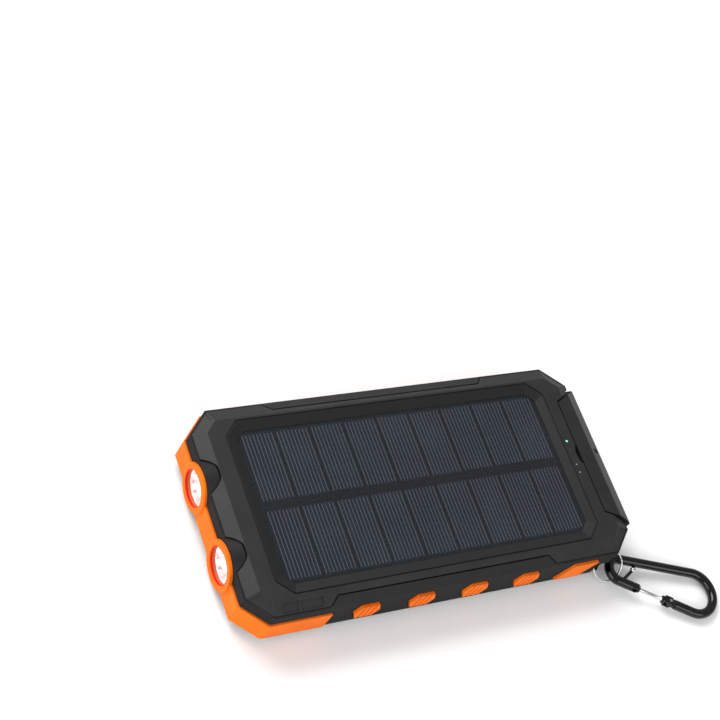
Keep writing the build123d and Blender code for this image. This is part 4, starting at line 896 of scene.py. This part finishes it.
def socket_contacts(socket, count, width):
    """Gold strips on the underside of a socket's tongue."""
    low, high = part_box(f"{socket}_tongue")
    shell_low, shell_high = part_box(f"{socket}_shell")
    height = shell_high.z - shell_low.z
    blade_low = (shell_low.z + shell_high.z) / 2 + BLADE_LIFT * height
    blade_half = BLADE_HALF * (shell_high.y - shell_low.y)
    pitch = 2 * blade_half / count
    bm = bmesh.new()
    for index in range(count):
        y = (low.y + high.y) / 2 + (index - (count - 1) / 2) * pitch
        back_x = high.x - CONTACT_REACH * (high.x - low.x)
        near = (back_x, y - width * MM / 2, blade_low - CONTACT_THICKNESS)
        far = (high.x - CONTACT_TIP, y + width * MM / 2, blade_low + CONTACT_THICKNESS)
        add_pillow(bm, near, far, CONTACT_THICKNESS / 2)
    add_piece(f"{socket}_contacts", bm, EXTRA["gold_plate"], "case")


def board_parts():
    """Chips and small parts on the free strip of the board, with a chamfered top each."""
    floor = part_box("circuit_board")[1].z
    for index, (x, y, length, width, height) in enumerate(BOARD_PARTS):
        bm = bmesh.new()
        low = ((x - length / 2) * MM, (y - width / 2) * MM, floor)
        high = ((x + length / 2) * MM, (y + width / 2) * MM, floor + height * MM)
        add_pillow(bm, low, high, PART_CHAMFER)
        add_piece(f"board_part_{index + 1}", bm, PAINTS["black_plastic"], "case")


SEAL_RIB = 0.28 * MM
SEAL_RIB_SIDES = 8
PLUG_SIDE = 1.0 * MM  # from the socket's wall to the plug's, across and up
PLUG_TOP = 0.8 * MM
RIB_STEP = 0.8  # millimetres from the seal's face to the first ring and on to the second


def seal_ribs():
    """Two raised rings of soft lip round each plug of the cover's seal."""
    face_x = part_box("port_seal")[0].x
    for socket in CONTACTS:
        shell_low, shell_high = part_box(f"{socket}_shell")
        y0, y1 = shell_low.y + PLUG_SIDE, shell_high.y - PLUG_SIDE
        z0, z1 = shell_low.z + PLUG_TOP, shell_high.z - PLUG_TOP
        bm = bmesh.new()
        for step in range(2):
            x = face_x + (RIB_STEP + RIB_STEP * step) * MM
            path = [(x, y0, z0), (x, y1, z0), (x, y1, z1), (x, y0, z1)]
            add_tube(bm, path, SEAL_RIB / 2, SEAL_RIB_SIDES, closed=True)
        add_piece(f"{socket}_plug_ribs", bm, PAINTS["black_gloss"], "port_cover", smooth=True)


# ---------------------------------------------------------------- grips

GRIP_PITCH = 0.87 * MM
GRIP_MARGIN = 1.1 * MM
BEAD_INSET = 0.55 * MM
BEAD_RADIUS = 0.22 * MM
BEAD_SIDES = 8
RIB_HALF = 0.27  # half a rib's width, as a share of the pitch
RIB_DROP = 0.17 * MM
RIB_ROOT = 0.05 * MM
RIB_SHOULDER = 0.3  # share of the drop at which a rib's shoulder starts
RIB_CROWN = 0.5  # share of the width that its crown takes


def grip_ribs(node):
    """Half-round rows across a grip pad, and a bead round its rim."""
    low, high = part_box(node)
    outline = outline_of(node)
    field = inset(outline, GRIP_MARGIN)
    face = low.z
    bm = bmesh.new()
    rows = int((high.x - low.x - 2 * GRIP_MARGIN) / GRIP_PITCH)
    start = (low.x + high.x) / 2 - (rows - 1) * GRIP_PITCH / 2
    for row in range(rows):
        x = start + row * GRIP_PITCH
        span = span_at(field, x)
        if span is None or span[1] - span[0] < GRIP_PITCH:
            continue
        add_rib(bm, x, span, face)
    add_piece(f"{node}_ribs", bm, PAINTS["grip_rubber"], "case")
    bm = bmesh.new()
    path = [(point.x, point.y, face) for point in inset(outline, BEAD_INSET)]
    add_tube(bm, path, BEAD_RADIUS, BEAD_SIDES, closed=True)
    add_piece(f"{node}_bead", bm, PAINTS["grip_rubber"], "case", True)


def add_rib(bm, x, span, face):
    """One rib: a low half-round bar along y that stands down from the pad's face."""
    half = RIB_HALF * GRIP_PITCH
    crown = RIB_CROWN * half
    root = face + RIB_ROOT
    shoulder = face - RIB_SHOULDER * RIB_DROP
    foot = face - RIB_DROP
    section = (
        (x - half, root),
        (x - half, shoulder),
        (x - crown, foot),
        (x + crown, foot),
        (x + half, shoulder),
        (x + half, root),
    )
    add_loops(bm, [[(across, y, level) for across, level in section] for y in span])


# ---------------------------------------------------------------- compass

TICKS = 36
TICKS_PER_LONG = 3
TICK_OUTER = 0.95  # reaches as shares of the dial's radius
TICK_INNER_LONG = 0.80
TICK_INNER_SHORT = 0.87
TICK_HALF_LONG = 0.10 * MM
TICK_HALF_SHORT = 0.06 * MM
TICK_DEPTH = 0.03 * MM
DIAL_FACE = 0.4 * MM  # the printed face above the dial's lowest point
LETTERS = ("N", "W", "S", "E")
LETTER_SIZE = 2.6 * MM
LETTER_WEIGHT = 0.08 * MM
LETTER_DEPTH = 0.02 * MM
LETTER_RING = 3.15


def dial_ticks():
    """White ticks round the dial, longer every thirty degrees."""
    low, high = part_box("compass_dial")
    centre = ((low.x + high.x) / 2, (low.y + high.y) / 2)
    rim = (high.x - low.x) / 2
    face = low.z + DIAL_FACE
    outer = rim * TICK_OUTER
    bm = bmesh.new()
    for tick in range(TICKS):
        turn = math.tau * tick / TICKS
        longer = tick % TICKS_PER_LONG == 0
        inner = rim * (TICK_INNER_LONG if longer else TICK_INNER_SHORT)
        half = TICK_HALF_LONG if longer else TICK_HALF_SHORT
        along = Vector((math.cos(turn), math.sin(turn), 0.0))
        across = Vector((-along.y, along.x, 0.0))
        base = Vector((centre[0], centre[1], face))
        corners = [
            base + along * reach + across * side
            for reach, side in ((inner, -half), (outer, -half), (outer, half), (inner, half))
        ]
        lowered = [corner - Vector((0.0, 0.0, TICK_DEPTH)) for corner in corners]
        add_loops(bm, [corners, lowered])
    add_piece("dial_ticks", bm, EXTRA["ink_white"], "compass_dial")


def dial_letter(letter, turn):
    """One compass letter, its foot towards the middle of the dial, read from below."""
    low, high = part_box("compass_dial")
    centre = Vector(((low.x + high.x) / 2, (low.y + high.y) / 2, low.z + DIAL_FACE))
    curve = bpy.data.curves.new(f"dial_{letter}", "FONT")
    curve.body = letter
    curve.size = LETTER_SIZE
    curve.offset = LETTER_WEIGHT
    curve.extrude = LETTER_DEPTH
    curve.align_x = "CENTER"
    curve.align_y = "CENTER"
    holder = bpy.data.objects.new("letter_curve", curve)
    bpy.context.scene.collection.objects.link(holder)
    bpy.context.view_layer.update()
    evaluated = holder.evaluated_get(bpy.context.evaluated_depsgraph_get())
    mesh = bpy.data.meshes.new_from_object(evaluated)
    bpy.data.objects.remove(holder)
    outward = Vector((math.cos(turn), math.sin(turn), 0.0))
    down = Vector((0.0, 0.0, -1.0))
    right = outward.cross(down)
    origin = centre + outward * LETTER_RING * MM + down * LETTER_DEPTH
    place = axes_matrix((right, outward, down), origin)
    bm = bmesh.new()
    bm.from_mesh(mesh)
    bmesh.ops.transform(bm, matrix=place, verts=bm.verts)
    add_piece(f"dial_letter_{letter}", bm, EXTRA["ink_green"], "compass_dial")


# ---------------------------------------------------------------- ring and hook

RING_WIRE = 0.27 * MM
RING_TURNS = 1.9
RING_RISE = 0.46 * MM
RING_PITCH = 1.15  # the coil's whole climb, as a share of RING_RISE
RING_INSET = 0.5 * MM
RING_STEPS = 96
RING_SIDES = 10
AXIS_GUESS = (0.3, 0.5, 0.8)
AXIS_STEPS = 30


def smallest_axis(spread):
    """The direction in which a cloud of points is thinnest, by inverse power steps."""
    inverse = spread.inverted()
    axis = Vector(AXIS_GUESS).normalized()
    for _ in range(AXIS_STEPS):
        axis = (inverse @ axis).normalized()
    return axis


def split_ring():
    """Spring wire wound nearly twice round, in place of the plain ring."""
    mesh = NODES["split_ring"].data
    points = [v.co.copy() for v in mesh.vertices]
    centre = sum(points, Vector()) / len(points)
    spread = Matrix(((0.0,) * 3,) * 3)
    for point in points:
        away = point - centre
        for row in range(3):
            for column in range(3):
                spread[row][column] += away[row] * away[column]
    normal = smallest_axis(spread)
    first = normal.orthogonal().normalized()
    second = normal.cross(first)
    reach = max((point - centre).length for point in points) - RING_INSET
    bm = bmesh.new()
    path = []
    for step in range(RING_STEPS + 1):
        share = step / RING_STEPS
        turn = math.tau * RING_TURNS * share
        height = RING_RISE * (share - 0.5) * RING_PITCH
        path.append(
            centre + reach * (first * math.cos(turn) + second * math.sin(turn)) + normal * height
        )
    add_tube(bm, path, RING_WIRE, RING_SIDES)
    steel = PAINTS["steel_plate"]
    piece = add_piece("split_ring_coil", bm, steel, "split_ring", True)
    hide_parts("split_ring")


# The gate, lengths in millimetres: its pivot from the near bend's middle, then its parts
GATE_SIDE = 6.757
GATE_REACH = 20.6
GATE_SLOPE = math.radians(6.72)
GATE_HOLE = 0.68
CHEEK_INNER = 0.92
CHEEK_OUTER = 1.48
CHEEK_RADIUS = 1.48
CHEEK_LENGTH = 2.2
CHEEK_HALF = 1.42
CHEEK_SIDES = 32
LEAST_SHARE = 0.01  # keeps a cheek's outline from being divided by nothing
NOSE_THINNING = 0.15
NOSE_SECTIONS = ((13.3, 1.15), (15.0, 1.15), (15.3, 0.9))  # distance from the pivot, half width
HINGE_COLLAR = ((1.9, 1.3), (2.1, 1.48), (2.9, 1.48), (3.2, 1.1))  # distance, radius
NOSE_COLLAR = ((12.5, 1.0), (12.8, 1.35), (13.3, 1.42), (13.5, 1.3))
ROD_PROFILE = ((3.0, 0.80), (3.6, 0.80), (3.7, 0.65), (12.2, 0.65), (12.7, 0.65))


class HookPlane:
    """The carabiner's own plane, from its swing joint and its gate's pivot."""

    def __init__(self):
        joints = {joint["name"]: joint for joint in frame["joints"]}
        self.eye = Vector(joints["hook_swing"]["pos_m"])
        self.pivot = Vector(joints["gate_open"]["pos_m"])
        self.normal = Vector(joints["hook_swing"]["axis"]).normalized()
        turn = Matrix.Rotation(math.atan2(GATE_SIDE, GATE_REACH), 3, self.normal)
        self.along = turn @ (self.pivot - self.eye).normalized()
        self.across = self.normal.cross(self.along)
        self.gate = -self.along * math.cos(GATE_SLOPE) + self.across * math.sin(GATE_SLOPE)
        self.gate_side = self.normal.cross(self.gate)

    def at_eye(self, u, v):
        """A point in the plane, in millimetres from the middle of the near bend."""
        return self.eye + (self.along * u + self.across * v) * MM

    def at_gate(self, t, side, lift):
        """A point by the gate: along it from the pivot, beside it, and out of the plane."""
        return self.pivot + (self.gate * t + self.gate_side * side + self.normal * lift) * MM


def gate_collar(bm, hook, profile):
    """A turned block on the gate's axis, given as distances from the pivot and radii."""
    loops = []
    for t, radius in profile:
        turns = (math.tau * step / CHEEK_SIDES for step in range(CHEEK_SIDES))
        loops.append([
            hook.at_gate(t, radius * math.cos(turn), radius * math.sin(turn)) for turn in turns
        ])
    add_loops(bm, loops)


def hinge_cheek(bm, hook, lift_low, lift_high):
    """One drilled cheek of the gate's hinge fork, running from round the rivet to the collar."""
    outer = []
    inner = []
    for step in range(CHEEK_SIDES):
        turn = math.tau * step / CHEEK_SIDES
        reach = CHEEK_RADIUS
        if math.cos(turn) > LEAST_SHARE:
            end = CHEEK_LENGTH / math.cos(turn)
            reach = min(end, CHEEK_HALF / max(abs(math.sin(turn)), LEAST_SHARE))
        outer.append((reach * math.cos(turn), reach * math.sin(turn)))
        inner.append((GATE_HOLE * math.cos(turn), GATE_HOLE * math.sin(turn)))
    loops = [
        [hook.at_gate(t, side, lift) for t, side in outline]
        for outline, lift in (
            (outer, lift_low),
            (outer, lift_high),
            (inner, lift_high),
            (inner, lift_low),
            (outer, lift_low),
        )
    ]
    rings = add_loops(bm, loops, cap=False)
    bmesh.ops.remove_doubles(bm, verts=rings[0] + rings[-1], dist=WELD)


def nose_cheek(bm, hook, lift_low, lift_high):
    """One plain cheek of the fork at the gate's nose."""
    loops = []
    for t, half in NOSE_SECTIONS:
        corners = (
            (-half, lift_low),
            (half, lift_low),
            (half, lift_high),
            (-half, lift_high),
        )
        loops.append([hook.at_gate(t, side, lift) for side, lift in corners])
    add_loops(bm, loops)


def gate(hook):
    """A thin steel rod between two black forked blocks, in place of the plain gate."""
    bm = bmesh.new()
    gate_collar(bm, hook, HINGE_COLLAR)
    gate_collar(bm, hook, NOSE_COLLAR)
    for side in (-1, 1):
        hinge_cheek(bm, hook, side * CHEEK_INNER, side * CHEEK_OUTER)
        nose_cheek(bm, hook, side * CHEEK_INNER, side * (CHEEK_OUTER - NOSE_THINNING))
    black = PAINTS["black_anodised"]
    piece = add_piece("gate_blocks", bm, black, "carabiner_gate")
    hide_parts("carabiner_gate")
    bm = bmesh.new()
    gate_collar(bm, hook, ROD_PROFILE)
    add_piece("gate_rod", bm, PAINTS["steel_plate"], "carabiner_gate", smooth=True)


# The bar across the eye and its ball, in millimetres in the hook's plane
EYE_BAR_PATH = ((1.6, -3.3), (3.6, -0.8), (5.6, 1.7), (6.3, 4.9))
EYE_BAR_RADIUS = 0.62 * MM
EYE_BAR_SIDES = 12
EYE_BALL_PLACE = (5.6, 1.7)
EYE_BALL_RADIUS = 1.1 * MM
EYE_BALL_SEGMENTS = 24
EYE_BALL_RINGS = 16


def eye_bar(hook):
    """The bar that closes the eye for the ring, with a small steel ball where it meets the leg."""
    bm = bmesh.new()
    path = [hook.at_eye(u, v) for u, v in EYE_BAR_PATH]
    add_tube(bm, path, EYE_BAR_RADIUS, EYE_BAR_SIDES)
    add_piece("eye_bar", bm, PAINTS["black_anodised"], "carabiner", smooth=True)
    bm = bmesh.new()
    bmesh.ops.create_uvsphere(
        bm, u_segments=EYE_BALL_SEGMENTS, v_segments=EYE_BALL_RINGS, radius=EYE_BALL_RADIUS
    )
    bmesh.ops.translate(bm, verts=bm.verts, vec=hook.at_eye(*EYE_BALL_PLACE))
    add_piece("eye_ball", bm, PAINTS["steel_plate"], "carabiner", smooth=True)


# ---------------------------------------------------------------- stage

# The stage, in metres
STAGE_HALF = 3.0
STAGE_RISE = 2.5
STAGE_CORNER = 0.8
STAGE_STEPS = 12
STAGE_DROP = 0.02 * MM


def stage_profile():
    """The stage's section: the floor, a round corner and the backdrop."""
    start = STAGE_HALF - STAGE_CORNER
    profile = [(-STAGE_HALF, 0.0), (start, 0.0)]
    for step in range(1, STAGE_STEPS + 1):
        turn = math.pi / 2 * step / STAGE_STEPS
        along = start + STAGE_CORNER * math.sin(turn)
        profile.append((along, STAGE_CORNER - STAGE_CORNER * math.cos(turn)))
    profile.append((STAGE_HALF, STAGE_RISE))
    return profile


def add_stage():
    """A pale floor that the object rests on and a pale backdrop behind it."""
    bm = bmesh.new()
    profile = stage_profile()
    rows = []
    for y in (-STAGE_HALF, STAGE_HALF):
        rows.append([bm.verts.new((y, along, up)) for along, up in profile])
    for near, far in zip(zip(rows[0], rows[0][1:]), zip(rows[1], rows[1][1:])):
        bm.faces.new((near[0], near[1], far[1], far[0]))
    mesh = bpy.data.meshes.new("studio_floor")
    bm.to_mesh(mesh)
    bm.free()
    for polygon in mesh.polygons:
        polygon.use_smooth = True
    mesh.materials.append(stage_surface())
    floor = bpy.data.objects.new("studio_floor", mesh)
    floor.location.z = CAD_BOX[0][2] - STAGE_DROP
    bpy.context.scene.collection.objects.link(floor)


LIGHT_AIM = Vector((0.0, 0.0, 0.01))
SKY_STRENGTH = 0.46


def add_light(name, position, size, power):
    """A soft rectangular lamp that looks at the object, its power in watts."""
    light = bpy.data.lights.new(name, "AREA")
    light.shape = "RECTANGLE"
    light.size, light.size_y = size
    light.energy = power
    lamp = bpy.data.objects.new(name, light)
    lamp.location = position
    lamp.rotation_euler = (LIGHT_AIM - Vector(position)).to_track_quat("-Z", "Y").to_euler()
    bpy.context.scene.collection.objects.link(lamp)


def add_lights():
    """A large soft key from the far side, a fill on the torch end, a weak front and an even sky."""
    add_light("key", (-0.35, 0.95, 1.05), (1.0, 0.7), 19.0)
    add_light("fill", (-1.0, -0.35, 0.5), (0.9, 0.7), 7.0)
    add_light("front", (0.25, -0.9, 0.55), (0.9, 0.5), 3.5)
    world = bpy.data.worlds.new("studio")
    world.use_nodes = True
    background = world.node_tree.nodes["Background"]
    background.inputs["Color"].default_value = (1.0, 1.0, 1.0, 1.0)
    background.inputs["Strength"].default_value = SKY_STRENGTH
    bpy.context.scene.world = world


def add_camera():
    """The camera at the photograph's viewing angle."""
    azimuth, elevation, roll = CAMERA_AZIMUTH, CAMERA_ELEVATION, CAMERA_ROLL
    back = Vector((
        math.sin(azimuth) * math.cos(elevation),
        -math.cos(azimuth) * math.cos(elevation),
        math.sin(elevation),
    ))
    level = Vector((math.cos(azimuth), math.sin(azimuth), 0.0))
    upright = back.cross(level)
    right = level * math.cos(roll) + upright * math.sin(roll)
    up = upright * math.cos(roll) - level * math.sin(roll)
    lens = bpy.data.cameras.new("camera")
    lens.sensor_width = SENSOR
    lens.lens = CAMERA_LENS
    lens.clip_start = CLIP_START
    lens.clip_end = CLIP_END
    camera = bpy.data.objects.new("camera", lens)
    camera.matrix_world = axes_matrix((right, up, back), CAMERA_AIM + back * CAMERA_DISTANCE)
    bpy.context.scene.collection.objects.link(camera)
    bpy.context.scene.camera = camera


bpy.context.scene.view_settings.view_transform = "Standard"
add_camera()
add_stage()
add_lights()
paint_cad_nodes()
solar_wafers()
collector_lines()
for side in ("right", "left"):
    reflector(side)
    mouth_shade_lining(side)
    torch_die(side)
indicator_domes()
for socket, (count, width) in CONTACTS.items():
    socket_contacts(socket, count, width)
board_parts()
seal_ribs()
for grip in ("centre_grip", "side_grip_right", "side_grip_left"):
    grip_ribs(grip)
dial_ticks()
for index, letter in enumerate(LETTERS):
    dial_letter(letter, math.radians(90.0 + 90.0 * index))
split_ring()
hook_plane = HookPlane()
gate(hook_plane)
eye_bar(hook_plane)
